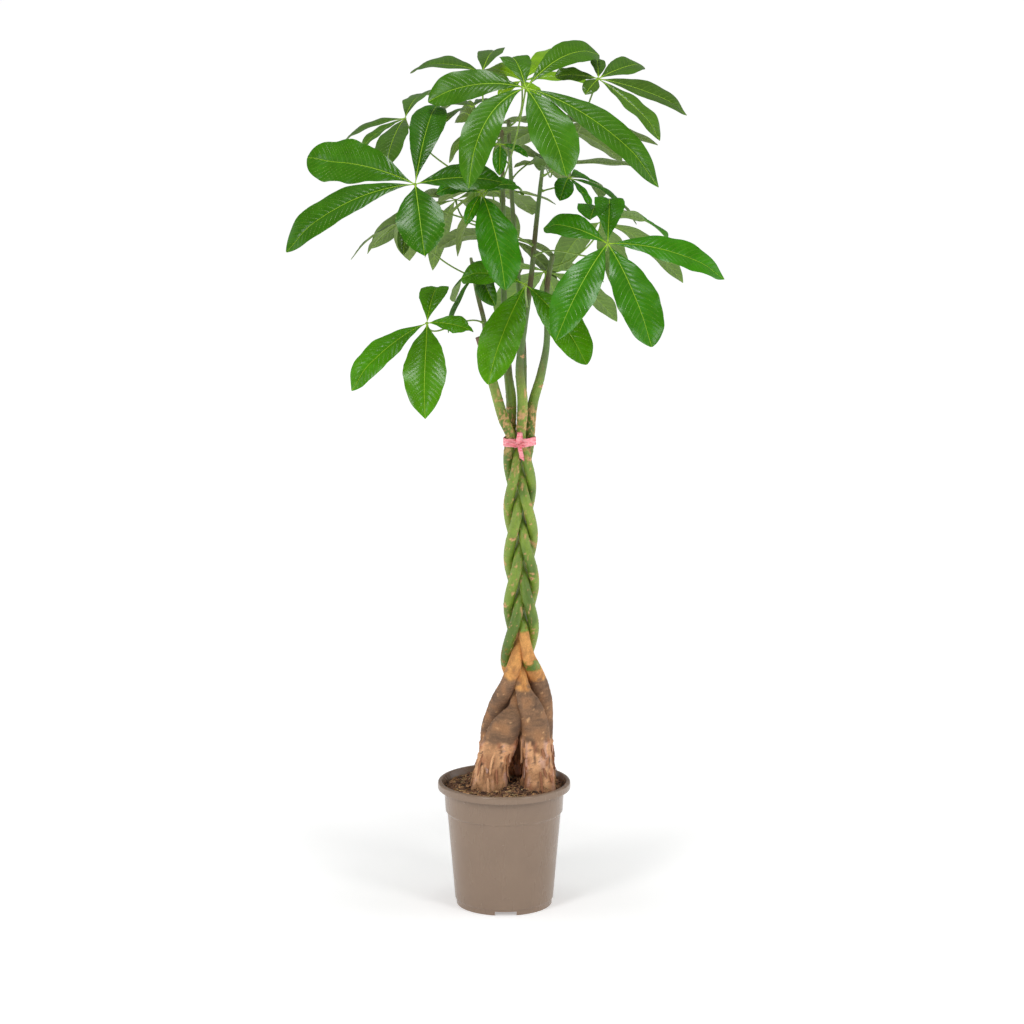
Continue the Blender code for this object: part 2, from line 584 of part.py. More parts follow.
def petiole_line(leaf, lines):
    """The petiole's centres, from the hub back to the stem it grows on."""
    up = leaf_axes(leaf)[0]
    centres, radii = lines[leaf.stem]
    k = min(range(len(centres) - 1), key=lambda i: abs((centres[i].z + centres[i + 1].z) / 2 - leaf.height))
    share = min(max((leaf.height - centres[k].z) / (centres[k + 1].z - centres[k].z), 0), 1)
    node = centres[k].lerp(centres[k + 1], share)
    along = (centres[k + 1] - centres[k]).normalized()
    reach = Vector(leaf.hub) - node
    out = (reach - along * reach.dot(along)).normalized()
    start = node + out * (mix(radii[k], radii[k + 1], share) + PETIOLE_SEAT)
    leave = (out + along * 0.5).normalized()
    elbow = start + out * 0.002
    hub = Vector(leaf.hub) - up * 0.003
    distance = (hub - elbow).length
    pull = (elbow, elbow + leave * distance * 0.35, hub - up * distance * 0.30, hub)
    line = []
    for i in range(PETIOLE_RINGS):
        t = 1 - i / (PETIOLE_RINGS - 1)
        parts = ((1 - t) ** 3, 3 * t * (1 - t) ** 2, 3 * t * t * (1 - t), t**3)
        line.append(sum((p * w for p, w in zip(pull, parts)), Vector((0, 0, 0))))
    return line + [start]


def leaf_mesh(leaf, lines):
    """One compound leaf as a closed mesh: its petiole, the hub, and a fan of leaflets."""
    up, ahead, left = leaf_axes(leaf)
    hub = Vector(leaf.hub)
    fan = sorted(leaf.fan)
    count = len(fan)
    bearings = [radians(row[0]) for row in fan]
    middles = [
        (a + b) / 2 for a, b in zip(bearings, bearings[1:] + [bearings[0] + 2 * pi])
    ]

    def around(angle, radius, height):
        return hub + (ahead * cos(angle) + left * sin(angle)) * radius + up * height

    points = [around(b, 0.0024, 0.0012) for b in bearings]
    points += [around(b, 0.0024, -0.0012) for b in bearings]
    points += [around(m, 0.0030, 0) for m in middles]
    top, bottom, notch = 0, count, 2 * count
    faces = [tuple(range(count))]
    line = petiole_line(leaf, lines)
    ring_start = len(points)
    for k, centre in enumerate(line):
        if k == 0:
            points += [around(b, 0.0016, -0.003) for b in bearings]
            continue
        forward = (line[min(k + 1, len(line) - 1)] - line[k - 1]).normalized()
        radius = PETIOLE_RADIUS * (1 + 0.5 * smoothstep((k - 4) / 2))
        first = points[ring_start + (k - 1) * count] - line[k - 1]
        first = (first - forward * first.dot(forward)).normalized()
        side = forward.cross(first)
        points += [
            centre + first * (radius * cos(b - bearings[0])) - side * (radius * sin(b - bearings[0]))
            for b in bearings
        ]
    for i in range(count):
        n = (i + 1) % count
        faces.append((top + i, notch + i, top + n))
        faces.append((ring_start + i, ring_start + n, bottom + n, notch + i, bottom + i))
        for k in range(len(line) - 1):
            a = ring_start + k * count
            faces.append((a + i, a + n, a + count + n, a + count + i))
    faces.append(tuple(ring_start + (len(line) - 1) * count + i for i in range(count)))
    for i, row in enumerate(fan):
        ring = (notch + (i - 1) % count, top + i, notch + i, bottom + i)
        add_leaflet(leaf, row, up, ring, points, faces)
    return points, faces


def add_leaflet(leaf, row, up, ring, points, faces):
    """Grows one leaflet on from the ring of four hub points (right, top, left, bottom)."""
    bearing, length = row[0], row[1] / 1000
    widest = length * (row[2] if len(row) > 2 else LEAFLET_SHARE)
    for share, fullness in STATIONS:
        centre = midrib(leaf, bearing, length, share)
        along = midrib(leaf, bearing, length, share + 0.02) - midrib(leaf, bearing, length, share - 0.02)
        across = up.cross(along).normalized()
        above = along.cross(across).normalized()
        half = widest * fullness / 2
        lift = above * (half * GUTTER)
        thick = above * (LEAFLET_THICK / 2)
        first = len(points)
        points += [centre - across * half + lift, centre + thick, centre + across * half + lift, centre - thick]
        new = tuple(range(first, first + 4))
        for j in range(4):
            n = (j + 1) % 4
            faces.append((ring[j], ring[n], new[n], new[j]))
        ring = new
    tip = len(points)
    points.append(midrib(leaf, bearing, length, 1.0))
    for j in range(4):
        faces.append((ring[j], ring[(j + 1) % 4], tip))


def main():
    for old in list(bpy.data.objects):
        bpy.data.objects.remove(old)
    lines = stem_lines()
    make_pot(material("taupe_plastic", TAUPE, 0.38))
    make_soil(material("bark_soil", SOIL_BROWN, 0.95), make_sockets(lines))
    make_trunks(material("bark", BARK_GREEN, 0.60), lines)
    make_tie(material("pink_tape", TAPE_PINK, 0.40))
    green = material("leaf", LEAF_GREEN, 0.35)
    for leaf in LEAVES:
        solid(leaf.name, *leaf_mesh(leaf, lines), green)


main()
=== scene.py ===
"""Looks of the potted money tree: leaves, plaited trunks, tie, soil and nursery pot, in a white studio.

Metres, +Z up, -Y is the front. The sizes repeat the CAD's.
"""

from collections import namedtuple
from math import cos, pi, radians, sin

import bmesh
import bpy
import numpy as np
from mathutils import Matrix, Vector
from mathutils.geometry import convex_hull_2d


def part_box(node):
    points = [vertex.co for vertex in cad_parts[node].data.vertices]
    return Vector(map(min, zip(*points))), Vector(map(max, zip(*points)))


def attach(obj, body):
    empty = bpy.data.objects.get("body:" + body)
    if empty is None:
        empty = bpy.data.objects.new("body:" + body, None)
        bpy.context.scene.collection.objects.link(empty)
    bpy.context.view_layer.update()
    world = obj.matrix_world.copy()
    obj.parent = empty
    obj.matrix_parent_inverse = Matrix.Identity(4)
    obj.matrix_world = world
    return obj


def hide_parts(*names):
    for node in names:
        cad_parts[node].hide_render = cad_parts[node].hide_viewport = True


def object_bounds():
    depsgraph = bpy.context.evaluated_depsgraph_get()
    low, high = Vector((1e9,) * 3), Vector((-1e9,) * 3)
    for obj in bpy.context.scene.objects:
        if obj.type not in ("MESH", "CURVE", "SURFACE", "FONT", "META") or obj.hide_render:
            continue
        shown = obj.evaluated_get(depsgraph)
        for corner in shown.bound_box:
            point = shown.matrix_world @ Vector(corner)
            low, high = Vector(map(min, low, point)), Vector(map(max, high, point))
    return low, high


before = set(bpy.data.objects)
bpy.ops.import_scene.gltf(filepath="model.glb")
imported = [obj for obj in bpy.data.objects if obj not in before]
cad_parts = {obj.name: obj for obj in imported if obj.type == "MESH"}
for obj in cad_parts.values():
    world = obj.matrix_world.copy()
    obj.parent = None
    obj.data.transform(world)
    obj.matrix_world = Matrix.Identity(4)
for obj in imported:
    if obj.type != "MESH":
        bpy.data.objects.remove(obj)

CAD_BOX = [list(corner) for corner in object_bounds()]

# Edges that turn more than this many degrees stay sharp.
POT_SHARP = 48
SOIL_SHARP = 50
LEAF_SHARP = 60

# ---------- pot, as in the CAD
POT_HEIGHT = 0.1816
RIM_RADIUS = 0.095
RIM_SKIRT = 0.0106
RIM_LIP = 0.0016  # the skirt's thickness
RIM_ROLL = 0.0030  # the rounding of the rim's outer edge
RIM_FLARE = 0.0903  # the wall behind the skirt, at its top
COLLAR_RADIUS = 0.0858
COLLAR_FOOT = COLLAR_RADIUS - 0.0016
STEP_HEIGHT = 0.137
STEP_RADIUS = 0.0814
WALL_FOOT_RADIUS = 0.0706
FOOT_RADIUS = 0.0687
FOOT_HEIGHT = 0.008
FOOT_WIDTH = 0.0022
WALL = 0.0015
FLOOR = 0.0018
FLOOR_TOP = FOOT_HEIGHT + FLOOR
POT_SEGMENTS = 168
NOTCH_WIDTH = 0.031
NOTCH_HEIGHT = 0.0055
NOTCH_ANGLES = (-88, 32, 152)
DRAIN_RADIUS = 0.005
DRAIN_CIRCLE = 0.045
DRAIN_COUNT = 8

# ---------- soil
SOIL_EDGE = 0.1715
SOIL_MOUND = 0.007
SOIL_HEAP = 0.0022  # of loose bark over the CAD's surface
CHIPS = 950
FIBRES = 300

# ---------- trunks, as in the CAD
BURIED = 0.147
SOIL_TOP = 0.178
AXIS_FOOT = 0.014
AXIS_TIE = 0.021
TIE_HEIGHT = 0.676
TIED = TIE_HEIGHT + 0.006  # where the plait ends
PLAIT_PERIOD = 0.350
PLAIT_ACROSS = 2.36
PLAIT_DEEP = 2.18
PLAIT_BOW = 0.12
PLAIT_TOP_CROSSING = 0.666
SPREAD_OVER = 0.085
PLAIT_FOOT = 0.255
# The plait's middle along X, and its trunks' radius, by height.
PLAIT_AXIS = ((SOIL_TOP, AXIS_FOOT), (0.300, 0.018), (0.420, 0.0245), (0.550, 0.0235), (TIE_HEIGHT, AXIS_TIE))
PLAIT_RADII = ((0.340, 0.0076), (0.440, 0.0076), (0.560, 0.0072), (TIE_HEIGHT, 0.0066))
CAD_STEP = 0.013375
TRUNK_SIDES = 44
TRUNK_STEP = 0.0016
STOUT_FOOT = 0.02  # the foot radius above which a trunk has more peeling bark
PEELS = 16
PEELS_ON_SLIM = 9
ROOT_FIBRES = 26

# The share of the way down to the soil, and the share of the thickening.
SLOW_SWELL = ((0.0, 0.0), (0.12, 0.10), (0.33, 0.42), (0.52, 0.64), (0.80, 0.88), (1.0, 1.0))
EARLY_SWELL = ((0.0, 0.0), (0.10, 0.08), (0.195, 0.50), (0.33, 0.84), (0.60, 0.96), (1.0, 1.0))
STEEP_SWELL = ((0.0, 0.0), (0.12, 0.10), (0.177, 0.18), (0.25, 0.40), (0.37, 0.66), (0.60, 0.86),
               (1.0, 1.0))
# How the skin presses against its neighbours where the CAD leaves room: thicker, or moved along X.
FULLER = {"trunk_left": 0.0026, "trunk_centre": 0.0018, "trunk_right": 0.0018, "trunk_middle_left": 0.0014,
          "trunk_back_shoot": 0.0008}
LEANING = {"trunk_back_shoot": 0.0048, "trunk_centre": -0.0044}
GREEN_PATCH = {"trunk_right": (0.344, 0.364)}  # heights of the green skin left on the tan stretch

Trunk = namedtuple("Trunk", "name turn leave foot foot_radius swell upper tan_top tan_foot flake_top")
# The last three are heights: the tan stretch's top and foot, and where the flaky bark starts.
TRUNKS = (
    Trunk("trunk_back_shoot", 0, 0.294, (-0.034, -0.025), 0.0232, EARLY_SWELL,
          ((0.026, 0.013, 0.730, 0.0060), (0.027, 0.030, 0.800, 0.0045), (0.020, 0.050, 0.900, 0.0036),
           (0.012, 0.062, 1.000, 0.0032), (0.006, 0.072, 1.120, 0.0026)), 0.340, 0.318, 0.250),
    Trunk("trunk_right", 1, 0.370, (0.036, 0.026), 0.0200, SLOW_SWELL,
          ((0.040, 0.004, 0.725, 0.0072), (0.052, 0.002, 0.770, 0.0062), (0.060, 0.000, 0.816, 0.0046),
           (0.060, -0.002, 0.890, 0.0038), (0.068, -0.004, 0.940, 0.0036)), 0.402, 0.328, 0.236),
    Trunk("trunk_centre", 2, 0.330, (0.034, -0.024), 0.0220, STEEP_SWELL,
          ((0.026, -0.012, 0.735, 0.0074), (0.022, -0.012, 0.786, 0.0056), (0.037, -0.008, 0.900, 0.0038),
           (0.045, -0.002, 0.982, 0.0034), (0.054, 0.010, 1.062, 0.0026)), 0.362, 0.319, 0.254),
    Trunk("trunk_middle_left", 3, 0.358, (0.001, 0.038), 0.0140, SLOW_SWELL,
          ((0.010, 0.008, 0.735, 0.0072), (0.006, 0.004, 0.770, 0.0060), (0.000, 0.002, 0.880, 0.0040),
           (-0.001, 0.012, 1.000, 0.0034), (-0.003, 0.022, 1.110, 0.0026)), 0.350, 0.322, 0.216),
    Trunk("trunk_left", 4, 0.328, (-0.034, 0.026), 0.0180, SLOW_SWELL,
          ((-0.001, -0.012, 0.710, 0.0074), (-0.014, -0.014, 0.756, 0.0070), (-0.026, -0.015, 0.800, 0.0064),
           (-0.034, -0.015, 0.826, 0.0062)), 0.398, 0.336, 0.234),
)
SIDE_SHOOT = (
    (-0.021, -0.016, 0.790, 0.0030), (-0.026, -0.019, 0.830, 0.0034), (-0.028, -0.018, 0.850, 0.0034),
    (-0.038, -0.012, 0.890, 0.0030), (-0.046, -0.004, 0.935, 0.0022),
)

# ---------- tie
TIE_WIDTH = 0.012
TIE_SLACK = 0.0008
TAPE_SKIN = 0.00015  # half the band's thickness
RIBBON_SKIN = 0.00014
# The bow's strips: width, seed, how far the end is cut slantwise, and keys of the share of its length, the
# place from the seat to the right, forwards and up, and the turn about Z.
RIBBONS = (
    (0.0052, 71, 0, ((0, -0.0062, 0.0002, 0.0030, 1.3), (0.3, -0.003, 0.0040, 0.0008, 1.5),
                     (0.6, 0.002, 0.0042, -0.0012, 1.7), (1, 0.0062, 0.0004, -0.0030, 1.8))),
    (0.0048, 72, 0, ((0, -0.0050, 0.0006, -0.0034, 1.2), (0.4, -0.001, 0.0050, -0.0006, 1.5),
                     (0.7, 0.002, 0.0048, 0.0010, 1.6), (1, 0.0058, 0.0004, 0.0030, 1.9))),
    (0.0062, 73, 0, ((0, 0, 0.0030, 0, 0.1), (0.25, -0.0012, 0.0050, 0.006, 0.3),
                     (0.5, 0.0006, 0.0062, 0.0165, 0.2), (0.62, 0.0016, 0.0050, 0.0180, 0.1),
                     (0.8, 0.0026, 0.0034, 0.010, -0.2), (1, 0.0008, 0.0022, 0.001, -0.2))),
    (0.0040, 74, 0, ((0, -0.001, 0.0030, 0.001, 0.2), (0.35, -0.0052, 0.0052, 0.0060, 0.7),
                     (0.6, -0.0075, 0.0040, 0.0080, 0.9), (1, -0.0020, 0.0024, 0.0015, 0.8))),
    (0.0060, 75, 0.0030, ((0, 0.0004, 0.0036, 0.001, -0.1), (0.3, 0.0018, 0.0050, -0.006, -0.1),
                          (0.65, 0.0034, 0.0046, -0.0130, 0.15), (1, 0.0044, 0.0040, -0.0205, 0.35))),
)

# ---------- leaves, as in the CAD
PETIOLE_RADIUS = 0.0015
PETIOLE_SEAT = 0.0006
LEAFLET_SHARE = 0.38
RISE = 0.14
HUB_RADIUS = 0.0025

Leaf = namedtuple("Leaf", "name stem height hub facing tilt droop tone fan")
# tone names the leaf's colour below. fan holds each leaflet's bearing (degrees), length (mm) and width share.
LEAVES = (
    Leaf("leaf_crown", "trunk_middle_left", 1.045, (0.030, -0.120, 1.180), -80, 40, 0.30, "crown",
         ((-175, 110), (-105, 135), (-40, 150), (20, 120, 0.50), (60, 200, 0.30), (140, 195, 0.22))),
    Leaf("leaf_crown_right", "trunk_centre", 1.050, (0.130, -0.020, 1.185), -55, 35, 0.05, "dusty",
         ((-105, 65, 0.45), (-55, 45, 0.5), (15, 125, 0.30), (60, 135, 0.36), (110, 105, 0.36),
          (152, 60, 0.38))),
    Leaf("leaf_crown_left", "trunk_middle_left", 1.098, (-0.030, 0.025, 1.190), -105, 20, 0.15, "dusty",
         ((-175, 125, 0.30), (-115, 135, 0.32), (-45, 85), (70, 45, 0.45))),
    Leaf("leaf_far_left", "trunk_middle_left", 1.020, (-0.140, 0.100, 1.120), -145, 25, 0.15, "dusty",
         ((-140, 145, 0.28), (-60, 110, 0.32), (-15, 75, 0.36), (40, 115, 0.42))),
    Leaf("leaf_left", "trunk_centre", 0.955, (-0.120, -0.120, 1.050), -100, 40, 0.15, "rich",
         ((-115, 175, 0.40), (-65, 190, 0.30), (15, 110, 0.55), (105, 120, 0.42), (180, 200, 0.24))),
    Leaf("leaf_middle", "trunk_middle_left", 1.035, (-0.030, -0.100, 1.035), -75, 40, 0.35, "bright",
         ((-125, 70, 0.38), (-40, 45, 0.38), (5, 120, 0.50), (125, 85, 0.36))),
    Leaf("leaf_right", "trunk_centre", 0.940, (0.140, -0.170, 0.975), -80, 40, 0.20, "bright",
         ((-130, 105, 0.46), (-35, 155, 0.38), (15, 150, 0.42), (85, 165, 0.32), (170, 130, 0.32))),
    Leaf("leaf_right_rear", "trunk_right", 0.925, (0.135, -0.005, 0.985), 70, 30, 0.35, "bright",
         ((-170, 160, 0.30), (-125, 150, 0.34), (-50, 130, 0.34), (5, 130, 0.34), (50, 115, 0.34))),
    Leaf("leaf_inner_right", "trunk_centre", 1.030, (0.090, 0.010, 1.045), -20, 25, 0.25, "bright",
         ((-80, 70, 0.40), (-35, 60, 0.34), (40, 115, 0.34), (85, 120, 0.36), (130, 140, 0.34))),
    Leaf("leaf_back_right", "trunk_centre", 1.058, (0.070, 0.150, 1.050), 70, 20, 0.00, "dusty",
         ((-90, 145, 0.26), (10, 90), (80, 65), (150, 135, 0.34))),
    Leaf("leaf_back_upper", "trunk_back_shoot", 1.080, (0.045, 0.010, 1.115), 85, 15, 0.10, "inner",
         ((-160, 140, 0.34), (-85, 170, 0.26), (-15, 120), (55, 95))),
    Leaf("leaf_low_middle", "trunk_centre", 0.870, (0.030, -0.100, 0.910), -90, 40, 0.25, "low",
         ((-120, 105, 0.44), (-20, 140, 0.42), (40, 130, 0.42))),
    Leaf("leaf_low_left", "side_shoot", 0.848, (-0.105, -0.120, 0.860), -105, 35, 0.20, "low",
         ((-175, 110, 0.36), (-45, 130, 0.34), (15, 145, 0.40), (95, 65, 0.50))),
    Leaf("leaf_outer_left", "side_shoot", 0.912, (-0.125, 0.060, 0.980), 165, 10, 0.40, "dusty",
         ((-70, 160, 0.30), (-25, 95, 0.26), (10, 95, 0.26), (95, 90, 0.26))),
    Leaf("leaf_small_far", "trunk_back_shoot", 1.100, (-0.045, 0.120, 1.135), -165, 10, 0.05, "dusty",
         ((-130, 80, 0.34), (-80, 100, 0.28), (45, 80, 0.28))),
    Leaf("leaf_hanging", "trunk_back_shoot", 1.060, (-0.035, 0.155, 1.105), -145, 50, 0.30, "pale",
         ((-115, 115, 0.34), (-40, 60, 0.42), (75, 50, 0.34))),
    Leaf("leaf_bud", "trunk_middle_left", 1.078, (-0.005, -0.020, 1.095), -85, 30, 0.25, "bright",
         ((-80, 40, 0.42), (-5, 50, 0.40), (70, 40, 0.42))),
    Leaf("leaf_lime_top", "trunk_back_shoot", 1.115, (0.025, 0.075, 1.175), -95, 20, 0.10, "lime",
         ((-140, 85, 0.50), (-35, 50, 0.40), (30, 55, 0.40), (105, 100, 0.34), (155, 165, 0.32))),
    Leaf("leaf_pale_left", "trunk_middle_left", 0.990, (-0.020, 0.005, 1.035), 150, 40, 0.35, "pale",
         ((-20, 110, 0.34), (45, 115, 0.30), (110, 90, 0.30))),
    Leaf("leaf_inner_low", "trunk_back_shoot", 0.900, (0.010, 0.130, 0.945), 60, 35, 0.30, "inner",
         ((-80, 75, 0.32), (-30, 85, 0.34), (20, 75, 0.34), (110, 110, 0.34))),
    Leaf("leaf_inner_pale", "trunk_back_shoot", 0.970, (-0.005, 0.110, 1.015), 65, 15, 0.10, "pale",
         ((-120, 55, 0.40), (-70, 80, 0.42), (0, 110), (80, 110), (150, 75, 0.34))),
    Leaf("leaf_small_low", "side_shoot", 0.930, (-0.035, 0.015, 0.915), 190, 50, 0.30, "rich",
         ((-75, 120, 0.30), (15, 80, 0.34), (90, 110, 0.30))),
    Leaf("leaf_rear_high", "trunk_back_shoot", 1.040, (0.070, 0.215, 1.100), 80, 30, 0.25, "crown",
         ((-120, 105), (-60, 110), (0, 85), (60, 110), (120, 95))),
    Leaf("leaf_rear_left", "trunk_middle_left", 0.960, (-0.070, 0.190, 0.995), 110, 35, 0.25, "rich",
         ((-125, 100), (-65, 125), (0, 135), (60, 130), (120, 100))),
    Leaf("leaf_rear_low", "trunk_right", 0.880, (0.060, 0.120, 0.900), 75, 35, 0.25, "bright",
         ((-110, 100), (-50, 120), (0, 135), (50, 120), (110, 95))),
)
# Leaflets of their own shape, by leaf and bearing: bluntness from 0 to 1; how far the tip curls down, how far
# it bends to its left, how deeply its end is torn and how far its middle bows to its right, each over the
# leaflet's length; its width over the usual; and the angle its blade turns about its midrib.
Habit = namedtuple("Habit", "blunt curl bend torn bow wide turn", defaults=(0, 0.03, 0, 0, 0, 1, 0))
HABITS = {
    ("leaf_left", -115): Habit(1.0, -0.05, wide=0.98, turn=-0.24),
    ("leaf_left", -65): Habit(0.45, 0.05, 0.03, bow=0.05),
    ("leaf_left", 15): Habit(0.15, 0.04, wide=1.08),
    ("leaf_left", 180): Habit(0.30, 0.02),
    ("leaf_low_left", 95): Habit(0.85, 0.02, 0.0, 0.16),
    ("leaf_low_left", 15): Habit(0.05, 0.03, -0.05),
    ("leaf_low_left", -45): Habit(0.25, 0.08, 0.03),
    ("leaf_low_left", -175): Habit(0.90, 0.03),
    ("leaf_low_middle", -20): Habit(0.60, 0.06, -0.03, wide=0.95),
    ("leaf_low_middle", 40): Habit(0.70, 0.04),
    ("leaf_low_middle", -120): Habit(0.80, 0.05),
    ("leaf_right", -130): Habit(0.35, 0.07),
    ("leaf_right", 170): Habit(0.85, 0.05),
    ("leaf_right", 85): Habit(0.25, 0.05, -0.03),
    ("leaf_right", 15): Habit(0.75, 0.03),
    ("leaf_right", -35): Habit(0.30, 0.04),
    ("leaf_middle", 5): Habit(0.45, 0.05),
    ("leaf_crown", 60): Habit(0.15, 0.06, wide=0.80),
    ("leaf_crown", 20): Habit(0.55, 0.05, wide=1.08),
    ("leaf_crown", -40): Habit(0.25, 0.08, 0.02, bow=0.11, wide=0.84),
    ("leaf_crown_right", 15): Habit(0.20, 0.06, 0.04),
    ("leaf_crown_right", 110): Habit(0.60, 0.03),
    ("leaf_pale_left", -20): Habit(0.20, 0.05, wide=0.72),
    ("leaf_pale_left", 45): Habit(0.20, 0.05, wide=0.62),
    ("leaf_rear_left", 0): Habit(0.20, 0.05, wide=0.55),
}
OUTLINE = ((0, 0.020), (0.05, 0.050), (0.12, 0.19), (0.26, 0.54), (0.42, 0.86), (0.57, 1.0), (0.71, 0.96),
           (0.82, 0.79), (0.90, 0.54), (0.95, 0.29), (0.98, 0.12), (1.0, 0.012))
BLUNT_OUTLINE = ((0, 0.020), (0.05, 0.045), (0.13, 0.18), (0.30, 0.56), (0.48, 0.88), (0.64, 1.0),
                 (0.77, 0.98), (0.87, 0.84), (0.94, 0.61), (0.98, 0.34), (1.0, 0.08))
# The columns of half a leaflet, from its midrib to its edge.
ACROSS = (0.0, 0.03, 0.08, 0.16, 0.26, 0.36, 0.47, 0.58, 0.69, 0.80, 0.90, 1.0)
STATION = 0.0021  # between a leaflet's rows
VEIN_SPACING = 0.0082
QUILT = {"low": 0.0019, "rich": 0.0016, "bright": 0.0012}  # how far the blade bulges between side veins
BLADE = 0.0006

# ---------- camera and light
CAMERA_PLACE = (0.0113, -5.0, 1.559)
CAMERA_PITCH = 11.15
LENS = 126.7
SENSOR = 36
WORLD_STRENGTH = 0.27
LIGHTS = (  # name, place, aim, size and watts
    ("key_left", (-1.9, -2.6, 2.5), (0, 0, 0.9), (0.9, 1.8), 48),
    ("key_right", (2.1, -2.3, 2.2), (0, 0, 0.8), (0.8, 1.6), 33),
    ("overhead", (0.1, -0.4, 3.3), (0, 0, 1.0), (0.8, 0.8), 32),
    ("side_left", (-2.4, 0.35, 1.0), (0, 0.35, 0.8), (2.6, 2.4), 19),
    ("side_right", (2.4, 0.25, 1.0), (0, 0.25, 0.8), (2.6, 2.4), 19),
)


# ---------- numbers
def linear(red, green, blue):
    """An sRGB colour of 0 to 255 as linear numbers."""
    value = np.array((red, green, blue)) / 255
    return np.where(value <= 0.04045, value / 12.92, ((value + 0.055) / 1.055) ** 2.4)


def mix(a, b, share):
    return a + (b - a) * share


def smoothstep(value):
    value = np.clip(value, 0.0, 1.0)
    return value * value * (3 - 2 * value)


def above(value, low, high):
    """0 below low, 1 above high, smooth in between."""
    return smoothstep((value - low) / (high - low))


def below(value, low, high):
    """1 below low, 0 above high, smooth in between."""
    return smoothstep((high - value) / (high - low))


def through(keys, at):
    """Reads a smooth curve through keys, rows that start with the place along it, at the place at."""
    keys = np.array(keys, float)
    if at <= keys[0, 0]:
        return keys[0, 1:]
    if at >= keys[-1, 0]:
        return keys[-1, 1:]
    i = int(np.searchsorted(keys[:, 0], at)) - 1
    before, a, b, after = keys[max(i - 1, 0)], keys[i], keys[i + 1], keys[min(i + 2, len(keys) - 1)]
    span = b[0] - a[0]
    s = (at - a[0]) / span
    slope_a = (b - before) / (b[0] - before[0])
    slope_b = (after - a) / (after[0] - a[0])
    start = (2 * s**3 - 3 * s**2 + 1) * a + (s**3 - 2 * s**2 + s) * span * slope_a
    return (start + (3 * s**2 - 2 * s**3) * b + (s**3 - s**2) * span * slope_b)[1:]


def lattice(cells, seed):
    """A number from 0 to 1 for each cell of a grid, always the same for the same seed."""
    x, y, z = (cells[..., k].astype(np.int64) for k in range(3))
    mixed = (x * 73856093) ^ (y * 19349663) ^ (z * 83492791) ^ (seed * 265443576)
    mixed = ((mixed ^ (mixed >> 13)) * 1274126177) & 0xFFFFFFFF
    mixed = ((mixed ^ (mixed >> 15)) * 2246822519) & 0xFFFFFFFF
    return ((mixed >> 8) & 0xFFFF) / 65535.0


def noise(points, size, seed, octaves=3):
    """Smooth noise of -1 to 1. size is one bump's, in metres, alike or for each axis."""
    at = points / np.array(size)
    total, weight, whole = 0.0, 1.0, 0.0
    for octave in range(octaves):
        cell = np.floor(at)
        part = at - cell
        part = part * part * (3 - 2 * part)
        value = 0.0
        for corner in range(8):
            step = np.array([(corner >> k) & 1 for k in range(3)])
            share = np.prod(np.where(step, part, 1 - part), axis=-1)
            value = value + share * lattice(cell + step, seed + octave)
        total = total + weight * (2 * value - 1)
        whole += weight
        weight *= 0.5
        at = at * 2.03 + 7.1
    return total / whole


def unit(vectors):
    return vectors / np.maximum(np.linalg.norm(vectors, axis=-1, keepdims=True), 1e-12)


def round_angles(count):
    return 2 * pi * np.arange(count) / count


def compass(turn):
    """Level directions at these angles."""
    return np.stack((np.cos(turn), np.sin(turn), 0 * turn), -1)


# ---------- colours
TONES = {
    "crown": linear(50, 96, 6),
    # The greyish green of the next tone is painted sheen: it stands in for the glossy leaves' reflection of
    # the white surroundings.
    "dusty": linear(60, 94, 22),
    "rich": linear(40, 92, 0),
    "bright": linear(44, 108, 0),
    "low": linear(60, 118, 0),
    # The dark green of the next tone is painted shade, for leaves deep inside the canopy.
    "inner": linear(26, 64, 2),
    "lime": linear(108, 148, 8),
    "pale": linear(84, 114, 30),
}
MIDRIB = linear(150, 190, 44)
STALK = linear(110, 142, 48)
UNDERSIDE = linear(126, 146, 84)

GREEN = linear(106, 134, 38)
# Painted highlight: a lighter olive taken from the lit green skin.
GREEN_LIGHT = linear(138, 160, 56)
GREEN_DEEP = linear(74, 102, 24)
SHOOT_GREEN = linear(84, 112, 52)
SHOOT_BROWN = linear(86, 78, 50)
TAN = linear(216, 156, 88)
TAN_DEEP = linear(176, 120, 68)
SCAR = linear(206, 160, 114)
SCAR_CORE = linear(116, 78, 58)
CUT_WOOD = linear(120, 96, 78)
GREY_BROWN = linear(146, 110, 80)
DARK_BROWN = linear(100, 76, 58)
WARM_BROWN = linear(162, 116, 78)
FLAKE_TAN = linear(224, 170, 124)
# A pale pink: the peeling bark's own colour on its curls, and painted highlight where the flaky bark's strips
# stand out.
FLAKE_PINK = linear(206, 162, 142)
FLAKE_RED = linear(168, 112, 78)
# Painted shade: the dark brown of the shadowed hollows in the flaky bark.
FLAKE_DARK = linear(88, 64, 48)

SOIL_DARK = linear(82, 58, 42)
SOIL_BROWN = linear(152, 112, 80)
# The chips' and fibres' tones, each with its share of them.
CHIP_TONES = [linear(94, 65, 47), linear(122, 88, 63), linear(148, 110, 79),
              linear(66, 47, 34), linear(172, 132, 94), linear(196, 154, 108)]
CHIP_SHARES = (0.28, 0.27, 0.16, 0.19, 0.07, 0.03)
FIBRE_TONES = [linear(206, 170, 118), linear(182, 140, 92), linear(222, 192, 142), linear(150, 112, 72)]
FIBRE_SHARES = (0.35, 0.30, 0.15, 0.20)

PINK = linear(238, 108, 124)
PINK_LIGHT = linear(248, 148, 158)
PINK_DEEP = linear(214, 72, 96)
PINK_CREASE = linear(250, 176, 182)

PLASTIC = linear(128, 107, 90), linear(140, 118, 99)
PLASTIC_SCUFF = linear(176, 162, 148)


def layer(paint, colour, mask):
    """Paints colour over paint where mask is 1."""
    return paint + (colour - paint) * np.clip(mask, 0, 1)[..., None]


# ---------- meshes
def lathe(profile, count):
    """Rings of points, one for each (radius, height) of the profile."""
    radius, height = np.array(profile).T[..., None, None]
    return compass(round_angles(count)) * radius + np.array((0, 0, 1)) * height


